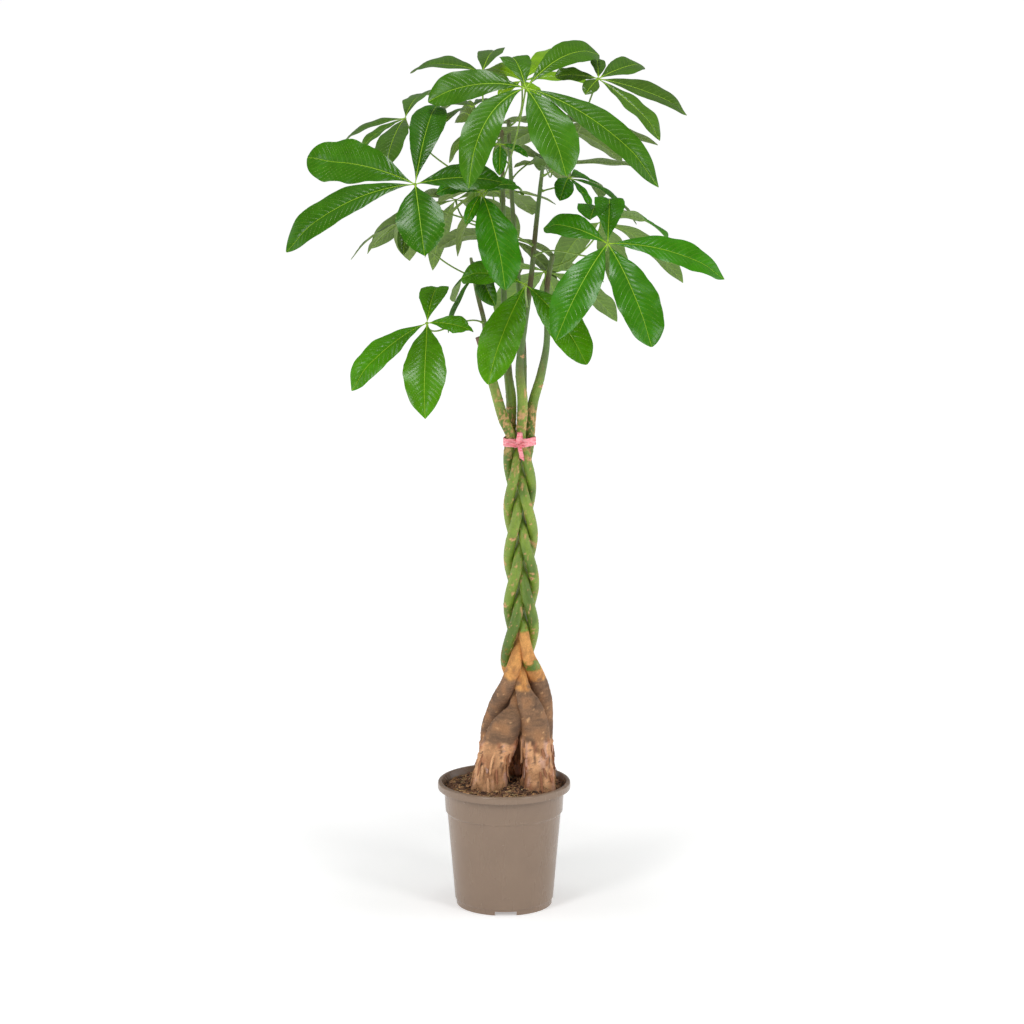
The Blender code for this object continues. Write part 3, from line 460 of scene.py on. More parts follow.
def grid_faces(rows, columns):
    """Quads between rings of points, ring by ring."""
    row = np.arange(rows - 1)[:, None] * columns
    column = np.arange(columns)
    after = (column + 1) % columns
    quads = (row + column, row + after, row + after + columns, row + column + columns)
    return np.stack(quads, -1).reshape(-1, 4).tolist()


def capped_faces(rows, columns):
    """Quads between rings of points, and a flat face over each end."""
    last = (rows - 1) * columns
    return [*grid_faces(rows, columns), [*range(columns)], [*range(last, last + columns)]]


def new_mesh(name, points, faces):
    """A mesh whose faces are turned outwards."""
    mesh = bpy.data.meshes.new(name)
    mesh.from_pydata(np.reshape(points, (-1, 3)).tolist(), [], faces)
    work = bmesh.new()
    work.from_mesh(mesh)
    bmesh.ops.recalc_face_normals(work, faces=work.faces)
    work.to_mesh(mesh)
    work.free()
    return mesh


def new_object(name, data):
    made = bpy.data.objects.new(name, data)
    bpy.context.scene.collection.objects.link(made)
    return made


def place(obj, slot, *nodes):
    """Puts a piece on the one body, in place of its CAD nodes."""
    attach(obj, "root")
    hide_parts(*nodes)


class Shape:
    """Points and faces with their colours and finishes, gathered part by part."""

    def __init__(self):
        self.points, self.paint, self.vein, self.faces, self.finish = [], [], [], [], []
        self.count = 0

    def add(self, points, faces, paint, vein=(0, 1, 9), finish=0):
        size = np.size(points) // 3
        for kept, values in ((self.points, points), (self.paint, paint), (self.vein, vein)):
            kept.append(np.broadcast_to(np.reshape(values, (-1, 3)), (size, 3)))
        self.faces += [[i + self.count for i in face] for face in faces]
        self.finish += list(np.broadcast_to(finish, len(faces)))
        self.count += size

    def make(self, name, finishes, slot, *nodes, sharp=None):
        """The gathered parts as one piece that stands for the CAD nodes."""
        points, paint, vein = (np.concatenate(kept) for kept in (self.points, self.paint, self.vein))
        mesh = new_mesh(name, points, self.faces)
        for finish in finishes:
            mesh.materials.append(finish)
        mesh.polygons.foreach_set("material_index", np.array(self.finish, np.int32))
        colours = mesh.color_attributes.new("paint", "FLOAT_COLOR", "POINT")
        solid = np.column_stack((paint, np.ones(len(paint))))
        colours.data.foreach_set("color", solid.astype(np.float32).ravel())
        if len(finishes) > 1:
            veins = mesh.attributes.new("vein", "FLOAT_VECTOR", "POINT")
            veins.data.foreach_set("vector", vein.astype(np.float32).ravel())
        mesh.shade_smooth()
        if sharp:
            mesh.set_sharp_from_angle(angle=radians(sharp))
        place(new_object(name, mesh), slot, *nodes)


def tube_points(centres, radii, sides):
    """Rings of points on a tube, not turning about its line. radii may differ round each ring."""
    along = unit(np.gradient(centres, axis=0))
    side = np.array((1.0, 0.0, 0.0))
    right = np.zeros_like(centres)
    for k, forward in enumerate(along):
        side = right[k] = unit(side - forward * (side @ forward))
    turn = round_angles(sides)[:, None]
    out = right[:, None] * np.cos(turn) + np.cross(along, right)[:, None] * np.sin(turn)
    return centres[:, None] + out * np.reshape(radii, (len(centres), -1, 1))


def add_tube(shape, points, paint, dome=0.0, finish=0):
    """Adds rings of points as a closed tube, its ends domed by this many metres."""
    rows, sides = points.shape[:2]
    middle = points.mean(1)
    tips = [middle[end] + unit(middle[end] - middle[near]) * dome for end, near in ((0, 1), (-1, -2))]
    count = rows * sides
    faces = grid_faces(rows, sides)
    for first, tip in ((0, count), (count - sides, count + 1)):
        faces += [[first + k, first + (k + 1) % sides, tip] for k in range(sides)]
    paint = np.broadcast_to(paint, points.shape).reshape(-1, 3)
    paint = np.concatenate((paint, paint[:1], paint[-1:]))
    shape.add(np.concatenate((points.reshape(-1, 3), tips)), faces, paint, finish=finish)


# ---------- finishes
class Finish:
    """A material, with helpers that add nodes before its shader."""

    def __init__(self, name, **sockets):
        self.material = bpy.data.materials.new(name)
        self.material.use_nodes = True
        self.tree = self.material.node_tree
        self.shader = self.tree.nodes["Principled BSDF"]
        self.set(**sockets)

    def feed(self, made, inputs):
        """Sets a node's inputs to numbers, or links them to sockets."""
        for key, value in inputs.items():
            if isinstance(value, bpy.types.NodeSocket):
                self.tree.links.new(value, made.inputs[key])
            else:
                made.inputs[key].default_value = value

    def set(self, **sockets):
        """Feeds the shader's sockets, whose names have _ for a space."""
        self.feed(self.shader, {key.replace("_", " "): value for key, value in sockets.items()})

    def node(self, kind, inputs=None, **settings):
        made = self.tree.nodes.new(kind)
        for key, value in settings.items():
            setattr(made, key, value)
        self.feed(made, inputs or {})
        return made

    def maths(self, operation, a, b):
        return self.node("ShaderNodeMath", {0: a, 1: b}, operation=operation).outputs[0]

    def weighted(self, *terms):
        """The sum of pairs, each multiplied."""
        whole, *others = (self.maths("MULTIPLY", value, weight) for value, weight in terms)
        for part in others:
            whole = self.maths("ADD", whole, part)
        return whole

    def ramp(self, value, low, high, to_low, to_high, kind="SMOOTHSTEP"):
        """value taken from low..high to to_low..to_high, and held outside them."""
        inputs = {"Value": value, "From Min": low, "From Max": high, "To Min": to_low, "To Max": to_high}
        return self.node("ShaderNodeMapRange", inputs, interpolation_type=kind).outputs[0]

    def blend(self, factor, a, b, how="MIX"):
        a, b = (tone if isinstance(tone, bpy.types.NodeSocket) else (*tone, 1) for tone in (a, b))
        made = self.node("ShaderNodeMix", data_type="RGBA", blend_type=how)
        self.feed(made, {0: factor, 6: a, 7: b})
        return made.outputs[2]

    def where(self, stretch=(1, 1, 1)):
        """Places in the object's own metres."""
        place_at = self.node("ShaderNodeTexCoord").outputs["Object"]
        return self.node("ShaderNodeMapping", {"Vector": place_at, "Scale": stretch}).outputs[0]

    def grain(self, scale, detail=3.0, stretch=(1, 1, 1)):
        """Noise of this many bumps per metre."""
        inputs = {"Vector": self.where(stretch), "Scale": scale, "Detail": detail}
        return self.node("ShaderNodeTexNoise", inputs).outputs[0]

    def painted(self):
        return self.node("ShaderNodeAttribute", attribute_name="paint").outputs["Color"]

    def shaded(self, colour, value, low, high):
        """colour made darker or lighter by a value of 0 to 1."""
        share = self.ramp(value, 0.25, 0.75, low, high, "LINEAR")
        return self.node("ShaderNodeVectorMath", {0: colour, "Scale": share}, operation="SCALE").outputs[0]

    def bump(self, height, distance, strength):
        inputs = {"Height": height, "Distance": distance, "Strength": strength}
        self.set(Normal=self.node("ShaderNodeBump", inputs).outputs[0])


def leaf_finish(name, under):
    """Leaf blade: pale midrib, side veins, a fine net of small veins and a waxy, uneven gloss."""
    made = Finish(name, Specular_IOR_Level=0.22)
    marks = made.node("ShaderNodeAttribute", attribute_name="vein").outputs["Vector"]
    phase, edge, rib = made.node("ShaderNodeSeparateXYZ", {0: marks}).outputs
    side_vein = made.ramp(made.maths("PINGPONG", phase, 0.5), 0.015, 0.11, 1.0, 0.0)
    side_vein = made.maths("MULTIPLY", side_vein, made.ramp(edge, 0.55, 0.98, 1.0, 0.0))
    rib = made.ramp(rib, 0.25, 0.80, 1.0, 0.0)
    cloud = made.grain(55, 4)
    fleck = made.grain(900, 2)
    cells = {"Vector": made.where(), "Scale": 420}
    cells = made.node("ShaderNodeTexVoronoi", cells, feature="DISTANCE_TO_EDGE")
    net = made.ramp(cells.outputs["Distance"], 0.0, 0.16, 1.0, 0.0)
    colour = made.painted()
    if under:
        colour = made.blend(0.58, colour, UNDERSIDE)
    colour = made.shaded(colour, cloud, 0.84, 1.16)
    colour = made.shaded(colour, fleck, 0.94, 1.06)
    lighter = made.blend(1.0, colour, MIDRIB, "SCREEN") if under else made.blend(0.5, colour, MIDRIB)
    masks = (net, 0.10, lighter), (side_vein, 0.20, lighter), (rib, 0.55 if under else 0.85, MIDRIB)
    for mask, strength, tone in masks:
        colour = made.blend(made.maths("MULTIPLY", mask, strength), colour, tone)
    gloss = made.ramp(cloud, 0.3, 0.7, *((0.50, 0.66) if under else (0.21, 0.33)))
    made.set(Base_Color=colour, Roughness=made.maths("ADD", gloss, made.maths("MULTIPLY", rib, 0.12)))
    way = 1.0 if under else -1.0
    height = made.weighted((side_vein, 0.35 * way), (rib, 0.60 * way), (net, 0.02 * way), (cloud, 0.5))
    made.bump(height, 0.0007, 0.7)
    return made.material


def stalk_finish():
    """Leaf stalks: smooth, finely streaked green."""
    made = Finish("leaf_stalk", Roughness=0.42)
    streak = made.grain(260, 3, (1, 1, 0.3))
    made.set(Base_Color=made.shaded(made.painted(), streak, 0.80, 1.18))
    made.bump(streak, 0.0003, 0.5)
    return made.material


def bark_finish():
    """Bark: the painted zones with fine grain, matt where it is brown and waxy where it is green."""
    made = Finish("bark_skin")
    colour = made.painted()
    fine = made.grain(620, 4, (1, 1, 0.7))
    coarse = made.grain(190, 4)
    red, green, _ = made.node("ShaderNodeSeparateColor", {0: colour}).outputs
    brown = made.ramp(made.maths("SUBTRACT", red, green), -0.06, 0.02, 0.0, 1.0)
    colour = made.shaded(made.shaded(colour, fine, 0.80, 1.20), coarse, 0.88, 1.12)
    made.set(Base_Color=colour, Roughness=made.ramp(brown, 0, 1, 0.46, 0.86))
    made.bump(made.weighted((fine, made.ramp(brown, 0, 1, 0.25, 1.0)), (coarse, 0.5)), 0.0011, 0.8)
    return made.material


def soil_finish():
    """Soil and bark chips: dull, crumbly and uneven."""
    made = Finish("bark_soil", Roughness=0.92)
    fine = made.grain(700, 5)
    coarse = made.grain(160, 4)
    made.set(Base_Color=made.shaded(made.shaded(made.painted(), fine, 0.60, 1.40), coarse, 0.78, 1.22))
    made.bump(made.maths("ADD", fine, coarse), 0.0016, 0.9)
    return made.material


def pot_finish():
    """Satin taupe plastic: faint mottling, moulding grain and a few scuffs."""
    made = Finish("taupe_plastic")
    cloud = made.grain(24, 4)
    fine = made.grain(1500, 2)
    smear = made.grain(36, 4, (1, 1, 0.25))
    scuff = made.ramp(made.grain(120, 5, (1, 1, 2.5)), 0.71, 0.76, 0.0, 0.35)
    colour = made.blend(scuff, made.blend(cloud, *PLASTIC), PLASTIC_SCUFF)
    colour = made.shaded(colour, fine, 0.97, 1.03)
    gloss = made.ramp(smear, 0.3, 0.7, 0.23, 0.31)
    made.set(Base_Color=colour, Roughness=made.maths("ADD", gloss, made.maths("MULTIPLY", scuff, 0.5)))
    made.bump(made.weighted((fine, 0.25), (smear, 0.7)), 0.0003, 0.4)
    return made.material


def tape_finish():
    """Thin pink plastic tape, glossy, paler where it is creased."""
    made = Finish("pink_tape")
    crease = made.grain(380, 4, (0.35, 0.35, 1.6))
    pale = made.ramp(crease, 0.35, 0.68, 0.0, 1.0)
    made.set(Base_Color=made.blend(pale, made.painted(), PINK_CREASE),
             Roughness=made.ramp(crease, 0.3, 0.7, 0.22, 0.42))
    made.bump(crease, 0.0010, 0.8)
    return made.material


# ---------- pot
def arc(middle, radius, start, end, count):
    """Points of an arc in the (radius, height) plane, by angles in degrees."""
    angles = np.radians(np.linspace(start, end, count))
    return [(middle[0] + radius * cos(a), middle[1] + radius * sin(a)) for a in angles]


def pot_profile():
    """The pot's section from the middle of its underside, round the rim, to the middle of its floor."""
    foot_inner = FOOT_RADIUS - FOOT_WIDTH
    foot_round = 0.0007
    skirt_foot = POT_HEIGHT - RIM_SKIRT
    under_rim = POT_HEIGHT - RIM_LIP - 0.0006
    under = [(0.012, FOOT_HEIGHT), (0.040, FOOT_HEIGHT), (foot_inner - 0.001, FOOT_HEIGHT)]
    foot = [(foot_inner, FOOT_HEIGHT - 0.001)]
    foot += arc((foot_inner + foot_round, foot_round), foot_round, 180, 270, 4)
    foot += arc((FOOT_RADIUS - foot_round, foot_round), foot_round, -90, 0, 4)
    foot += [(FOOT_RADIUS, FOOT_HEIGHT - 0.0012), (FOOT_RADIUS + 0.0002, FOOT_HEIGHT - 0.0004)]
    wall = [(mix(WALL_FOOT_RADIUS, STEP_RADIUS, t), mix(FOOT_HEIGHT + 0.0012, STEP_HEIGHT - 0.0016, t))
            for t in (0, 0.01, 0.03, 0.1, 0.25, 0.4, 0.55, 0.7, 0.85, 0.97, 0.99, 1)]
    step = [(STEP_RADIUS + 0.0006, STEP_HEIGHT - 0.0010), (COLLAR_FOOT - 0.0008, STEP_HEIGHT + 0.0006),
            (COLLAR_FOOT - 0.0001, STEP_HEIGHT + 0.0016), (COLLAR_FOOT, STEP_HEIGHT + 0.0028)]
    collar = [(mix(COLLAR_FOOT, COLLAR_RADIUS, t), mix(STEP_HEIGHT + 0.0028, skirt_foot, t))
              for t in (0.05, 0.3, 0.6, 0.9, 1)]
    rim = [(COLLAR_RADIUS + 0.0012, skirt_foot + 0.0035), (RIM_FLARE, under_rim - 0.0012),
           (RIM_FLARE + 0.0008, under_rim), (RIM_RADIUS - RIM_LIP - 0.0008, under_rim),
           (RIM_RADIUS - RIM_LIP, under_rim - 0.0008), (RIM_RADIUS - RIM_LIP, skirt_foot + 0.0005)]
    rim += arc((RIM_RADIUS - RIM_LIP / 2, skirt_foot + RIM_LIP / 2), RIM_LIP / 2, 180, 360, 7)
    rim += [(RIM_RADIUS + 0.0002, mix(skirt_foot, POT_HEIGHT, 0.35)),
            (RIM_RADIUS, POT_HEIGHT - RIM_ROLL - 0.0008)]
    rim += arc((RIM_RADIUS - RIM_ROLL, POT_HEIGHT - RIM_ROLL), RIM_ROLL, 0, 90, 8)
    inside = arc((RIM_FLARE - WALL + 0.0016, POT_HEIGHT - 0.0016), 0.0016, 90, 175, 7)
    inside += [(COLLAR_RADIUS - WALL + 0.0012, skirt_foot + 0.0030),
               (COLLAR_RADIUS - WALL, skirt_foot - 0.0010),
               (COLLAR_FOOT - WALL, STEP_HEIGHT + 0.0020), (STEP_RADIUS - WALL, STEP_HEIGHT),
               (WALL_FOOT_RADIUS - WALL, FLOOR_TOP + 0.001), (WALL_FOOT_RADIUS - WALL - 0.001, FLOOR_TOP),
               (0.040, FLOOR_TOP), (0.012, FLOOR_TOP)]
    return under + foot + wall + step + collar + rim + inside


def notch_cutter(angle):
    """A wedge-sided box that opens the foot ring."""
    out, left = compass(radians(angle)), compass(radians(angle + 90))
    points = [out * away + left * side * NOTCH_WIDTH / 2 + np.array((0, 0, height))
              for away in (FOOT_RADIUS - 0.010, FOOT_RADIUS + 0.010)
              for side, height in ((-1, -0.010), (1, -0.010), (1, NOTCH_HEIGHT), (-1, NOTCH_HEIGHT))]
    return new_object(f"notch_{angle}", new_mesh("notch", points, capped_faces(2, 4)))


def drain_cutter(number):
    sides = 28
    points = lathe(((DRAIN_RADIUS, FOOT_HEIGHT - 0.002), (DRAIN_RADIUS, FLOOR_TOP + 0.002)), sides)
    points = points + compass(2 * pi * (number + 0.5) / DRAIN_COUNT) * DRAIN_CIRCLE
    return new_object(f"drain_{number}", new_mesh("drain", points, capped_faces(2, sides)))


def make_pot():
    points = lathe(pot_profile(), POT_SEGMENTS)
    pot = new_object("pot_body", new_mesh("pot_body", points, capped_faces(*points.shape[:2])))
    cutters = [notch_cutter(angle) for angle in NOTCH_ANGLES] + [drain_cutter(k) for k in range(DRAIN_COUNT)]
    for helper in cutters:
        step = pot.modifiers.new(helper.name, "BOOLEAN")
        step.operation = "DIFFERENCE"
        step.object = helper
    bpy.context.view_layer.update()
    cut = bpy.data.meshes.new_from_object(pot.evaluated_get(bpy.context.evaluated_depsgraph_get()))
    pot.modifiers.clear()
    pot.data = cut
    for helper in cutters:
        bpy.data.objects.remove(helper)
    cut.materials.clear()
    cut.materials.append(pot_finish())
    cut.shade_smooth()
    cut.set_sharp_from_angle(angle=radians(POT_SHARP))
    place(pot, "pot", "pot")


# ---------- soil
def soil_height(x, y):
    """The soil's surface: heaped round the trunks, with a slow unevenness."""
    away = np.sqrt((x - AXIS_FOOT) ** 2 + y**2)
    uneven = 0.0010 * np.sin(95 * x + 1.3) * np.cos(80 * y - 0.6)
    return SOIL_EDGE + SOIL_HEAP + SOIL_MOUND * np.exp(-((away / 0.058) ** 4)) + uneven


def add_soil_bed(shape):
    """The bed: a crumbled top, and a plain side and bottom just inside the pot."""
    segments, rings = 200, 64
    edge = COLLAR_FOOT - WALL - 0.0003
    top = lathe([(away, 0) for away in edge * np.linspace(0.01, 1, rings) ** 0.85], segments)
    crumbs = 0.0016 * noise(top, 0.0080, seed=31, octaves=2) + 0.0009 * noise(top, 0.0030, seed=32, octaves=2)
    top[..., 2] = soil_height(top[..., 0], top[..., 1]) + crumbs
    sides = lathe(((edge - 0.0003, STEP_HEIGHT + 0.003), (STEP_RADIUS - WALL - 0.0006, STEP_HEIGHT),
                   (WALL_FOOT_RADIUS - WALL - 0.0006, FLOOR_TOP + 0.0003)), segments)
    points = np.concatenate((top, sides))
    paint = layer(SOIL_DARK, SOIL_BROWN, 0.5 + 0.9 * noise(points, 0.012, seed=35))
    shape.add(points, capped_faces(len(points), segments), paint)


def spot_on_soil(random, margin):
    """A random place on the soil, clear of the pot's wall and of the trunks."""
    edge = COLLAR_FOOT - WALL - margin
    while True:
        away, turn = edge * np.sqrt(random.random()), random.uniform(0, 2 * pi)
        x, y = away * cos(turn), away * sin(turn)
        if all(np.hypot(x - AXIS_FOOT - trunk.foot[0], y - trunk.foot[1]) > 0.93 * trunk.foot_radius
               for trunk in TRUNKS):
            return x, y


def turned_axes(random, lean):
    """Three square directions, turned about Z at random and leaning a little."""
    turn, tip = random.uniform(0, 2 * pi), random.normal(0, lean, 2)
    a = unit(compass(turn) + np.array((0, 0, tip[0])))
    up = unit(np.array((0, 0, 1.0)) - a * a[2] + compass(turn + pi / 2) * tip[1])
    return np.array((a, np.cross(up, a), up))


# The ranges of a chip's length, width and thickness, and its corners: four rings of four, narrow at the ends.
CHIP_SIZES = ((0.0040, 0.0130), (0.0028, 0.0070), (0.0010, 0.0032))
CHIP = np.array([(along, side * share, level * share)
                 for along, share in ((-1.0, 0.45), (-0.45, 1.0), (0.4, 0.95), (1.0, 0.4))
                 for side, level in ((-1, -1), (1, -1), (1, 1), (-1, 1))])


def add_chip(shape, random):
    """A bark chip: a rough lump that tapers to its ends."""
    x, y = spot_on_soil(random, 0.003)
    size = [random.uniform(low, high) / 2 for low, high in CHIP_SIZES]
    axes = turned_axes(random, 0.40)
    middle = (x, y, soil_height(x, y) + random.uniform(0.0, 0.0016))
    corners = CHIP * size * random.uniform(0.75, 1.2, CHIP.shape)
    tone = CHIP_TONES[random.choice(len(CHIP_TONES), p=CHIP_SHARES)]
    shape.add(middle + corners @ axes, capped_faces(4, 4), tone * random.uniform(0.75, 1.3))


def add_fibre(shape, random):
    """A bent coir fibre that lies on the soil."""
    spot = spot_on_soil(random, 0.006)
    turn, bend = random.uniform(0, 2 * pi), random.normal(0, 1.5)
    length, width = random.uniform(0.005, 0.018), random.uniform(0.00025, 0.0006)
    share = np.linspace(-0.5, 0.5, 8)
    line = np.cumsum(compass(turn + bend * share)[:, :2] * (length / 7), axis=0)
    line += spot - line.mean(0)
    line *= np.minimum(1, (COLLAR_RADIUS - 0.0045) / np.linalg.norm(line, axis=-1))[:, None]
    height = soil_height(*line.T) + 0.0010 + 0.0014 * random.random() + 0.0012 * np.cos(5 * share)
    points = tube_points(np.column_stack((line, height)), width * (1 - 1.2 * share**2), 5)
    tone = FIBRE_TONES[random.choice(len(FIBRE_TONES), p=FIBRE_SHARES)]
    add_tube(shape, points, tone * random.uniform(0.7, 1.1))


def make_soil():
    random = np.random.default_rng(7)
    shape = Shape()
    add_soil_bed(shape)
    for _ in range(CHIPS):
        add_chip(shape, random)
    for _ in range(FIBRES):
        add_fibre(shape, random)
    shape.make("soil_bed", [soil_finish()], "soil", "soil", sharp=SOIL_SHARP)


# ---------- trunks
def plait_radius(height):
    return through(PLAIT_RADII, height)[0]


def trunk_radius(trunk, height):
    start = trunk.leave + 0.012
    fall = (start - height) / (start - SOIL_TOP)
    return mix(plait_radius(height), trunk.foot_radius, through(trunk.swell, fall)[0])


def plait_centre(trunk, height):
    """A trunk's middle at this height: a flat figure of eight, left for the trunk's own foot low down."""
    crossing = PLAIT_TOP_CROSSING - trunk.turn * PLAIT_PERIOD / 5
    turn = pi / 2 - 2 * pi * (crossing - max(height, PLAIT_FOOT)) / PLAIT_PERIOD
    across = (cos(turn) + PLAIT_BOW * cos(3 * turn)) / (1 + PLAIT_BOW)
    woven = np.array((-PLAIT_ACROSS * across, -PLAIT_DEEP * sin(2 * turn))) * plait_radius(height)
    x, y = mix(woven, np.array(trunk.foot), smoothstep((trunk.leave - height) / SPREAD_OVER))
    return through(PLAIT_AXIS, height)[0] + x, y


def climb(low, high):
    """Heights from low to high, TRUNK_STEP apart."""
    return np.linspace(low, high, round((high - low) / TRUNK_STEP) + 1)


def as_line(rows):
    """Rows of (height, x, y, radius) as centres and radii."""
    z, x, y, radius = np.array(rows).T
    return np.stack((x, y, z), -1), radius


def by_height(keys):
    return [(z, x, y, radius) for x, y, z, radius in keys]


def trunk_line(trunk):
    """Centres and radii of a trunk from its buried end to its top."""
    def plaited(z):
        return z, *plait_centre(trunk, z), trunk_radius(trunk, z)

    keys = [plaited(z) for z in (TIED - 2 * CAD_STEP, TIED - CAD_STEP, TIED)] + by_height(trunk.upper)
    upper = [(z, *through(keys, z)) for z in climb(TIED, keys[-1][0])[1:]]
    return as_line([plaited(z) for z in climb(BURIED, TIED)] + upper)


def shoot_line():
    keys = by_height(SIDE_SHOOT)
    return as_line([(z, *through(keys, z)) for z in climb(keys[0][0], keys[-1][0])])


def pressed(trunk, centres, radii):
    """The skin's own centres and radii: fuller and leaning together between the soil and the plait."""
    height = centres[:, 2]
    fuller = FULLER[trunk.name] * above(height, 0.215, 0.290) * below(height, 0.345, 0.392)
    root = 0.0016 * below(height, 0.180, 0.205)
    lean = LEANING.get(trunk.name, 0) * above(height, 0.190, 0.250) * below(height, 0.272, 0.325)
    return centres + np.array((1, 0, 0)) * lean[:, None], radii + fuller + root


def scar_marks(points, turn, radii, random, stretches):
    """Leaf scars: three-cornered patches at the nodes, with a darker core. Returns patch, core and rim masks.

    stretches holds the lowest and highest node, their spacing and the marks' strength.
    """
    marks = np.zeros((3, *points.shape[:2]))
    height = points[..., 2]
    ragged = noise(points, 0.0016, seed=77, octaves=2) * 2 / 3
    for low, high, spacing, strength in stretches:
        node = low + random.uniform(0, spacing)
        where = random.uniform(0, 2 * pi)
        while node < high:
            wide, tall = random.uniform(0.0046, 0.0072), random.uniform(0.0030, 0.0048)
            across = np.abs((turn - where + pi) % (2 * pi) - pi) * radii[:, None] / wide
            up = (height - node) / tall
            patch = above(1 - across**1.6 - np.where(up > 0, 2 * up, -up) + ragged, 0.0, 0.35)
            core = above(1 - (across / 0.4) ** 2 - (up / 0.25) ** 2, 0.0, 0.6)
            rim = np.exp(-(((up - 0.4) * tall / 0.0007) ** 2)) * above(1 - across / 1.5, 0, 0.4)
            marks = np.maximum(marks, strength * np.array((patch, core, rim)))
            node += spacing * random.uniform(0.7, 1.3)
            where += 2.4 + random.normal(0, 0.4)
    return marks


def shoot_paint(points, brown, size, seed):
    """Dull green shoots with brown blotches, more of them the higher brown is."""
    return layer(SHOOT_GREEN, SHOOT_BROWN, brown[0] + brown[1] * noise(points, size, seed))


def paint_green(points, seed):
    """Olive skin with slow streaks, deep green patches and small corky dots. Returns paint and corkiness."""
    slow = noise(points, (0.018, 0.018, 0.07), seed)
    # GREEN_LIGHT is painted highlight, laid over the green skin in slow streaks.
    paint = layer(GREEN, GREEN_LIGHT, 0.2 + 1.1 * slow)
    paint = layer(paint, GREEN_DEEP, above(-slow, 0.05, 0.5) * 0.8)
    dots = above(noise(points, 0.0026, seed + 1, 1), 0.62, 0.80)
    paint = layer(paint, SCAR, dots * 0.85)
    rub = above(noise(points, (0.006, 0.006, 0.022), seed + 2), 0.36, 0.50)
    return layer(paint, SCAR, rub * 0.8), np.maximum(dots, 0.4 * rub)


def paint_bark(paint, points, trunk, seed):
    """The lower stretch: bare tan, ringed grey-brown bark, then flaky reddish bark.

    Returns the paint, the surface's bumps and where it is flaky.
    """
    def mottle(number, wide, tall, octaves=3):
        return noise(points, (wide, wide, tall), seed + number, octaves)

    height = points[..., 2]
    level = height + 0.007 * mottle(3, 0.010, 0.016)
    fringe = below(level, trunk.tan_top - 0.01, trunk.tan_top + 0.060)
    fringe = fringe * above(mottle(5, 0.0045, 0.0045), 0.16, 0.34)
    paint = layer(paint, TAN_DEEP * 0.8, fringe * 0.85)
    low, high = GREEN_PATCH.get(trunk.name, (0, 0))
    still_green = above(level, low, low + 0.003) * below(level, high - 0.003, high)
    still_green = still_green * above(mottle(14, 0.009, 0.009, 2), -0.25, 0.0)
    bare = below(level, trunk.tan_top - 0.0015, trunk.tan_top + 0.0015) * (1 - still_green)
    paint = layer(paint, layer(TAN, TAN_DEEP, 0.30 + 1.5 * mottle(6, 0.007, 0.012)), bare)

    early = below(level, trunk.tan_foot, trunk.tan_foot + 0.034) * above(mottle(4, 0.010, 0.010), 0.18, 0.42)
    bark = np.maximum(below(level, trunk.tan_foot - 0.003, trunk.tan_foot + 0.004), early)
    rings = mottle(7, 0.012, 0.0018)
    cloud = mottle(8, 0.016, 0.016)
    pores = above(mottle(9, 0.0030, 0.0046, 1), 0.66, 0.82)
    brown = layer(GREY_BROWN, DARK_BROWN, 0.35 + 0.9 * cloud + 0.7 * rings)
    brown = layer(brown, WARM_BROWN, above(-cloud, 0.0, 0.5) * 0.8)
    paint = layer(paint, layer(brown, SCAR, pores * 0.9), bark)

    flake_edge = height + 0.016 * mottle(10, 0.014, 0.03, 2)
    flaky = below(flake_edge, trunk.flake_top - 0.006, trunk.flake_top)
    plates = mottle(11, 0.0075, 0.020, 2)
    strips = mottle(12, 0.0040, 0.024)
    flakes = layer(FLAKE_TAN, FLAKE_RED, above(plates, -0.10, 0.30))
    # Painted highlight: pale pink where the strips stand out.
    flakes = layer(flakes, FLAKE_PINK, above(strips, 0.22, 0.40) * 0.9)
    # Painted shade: dark brown where the strips sink, and in small spots.
    flakes = layer(flakes, FLAKE_DARK, above(-strips, 0.24, 0.46) * 0.9)
    flakes = layer(flakes, FLAKE_DARK, above(mottle(13, 0.0028, 0.0028, 2), 0.30, 0.6) * 0.7)
    flakes = layer(flakes, WARM_BROWN, above(mottle(15, 0.011, 0.02, 2), 0.0, 0.35) * 0.6)
    flakes = layer(flakes, SOIL_BROWN, below(height, 0.178, 0.192) * 0.5)
    steps = np.tanh(7 * plates) * 0.0014 + np.tanh(6 * strips) * 0.0010
    lump = bark * (1 - flaky) * (0.0004 * rings + 0.0006 * pores + 0.0008 * cloud)
    return layer(paint, flakes, flaky), lump + flaky * (steps + 0.0010), flaky


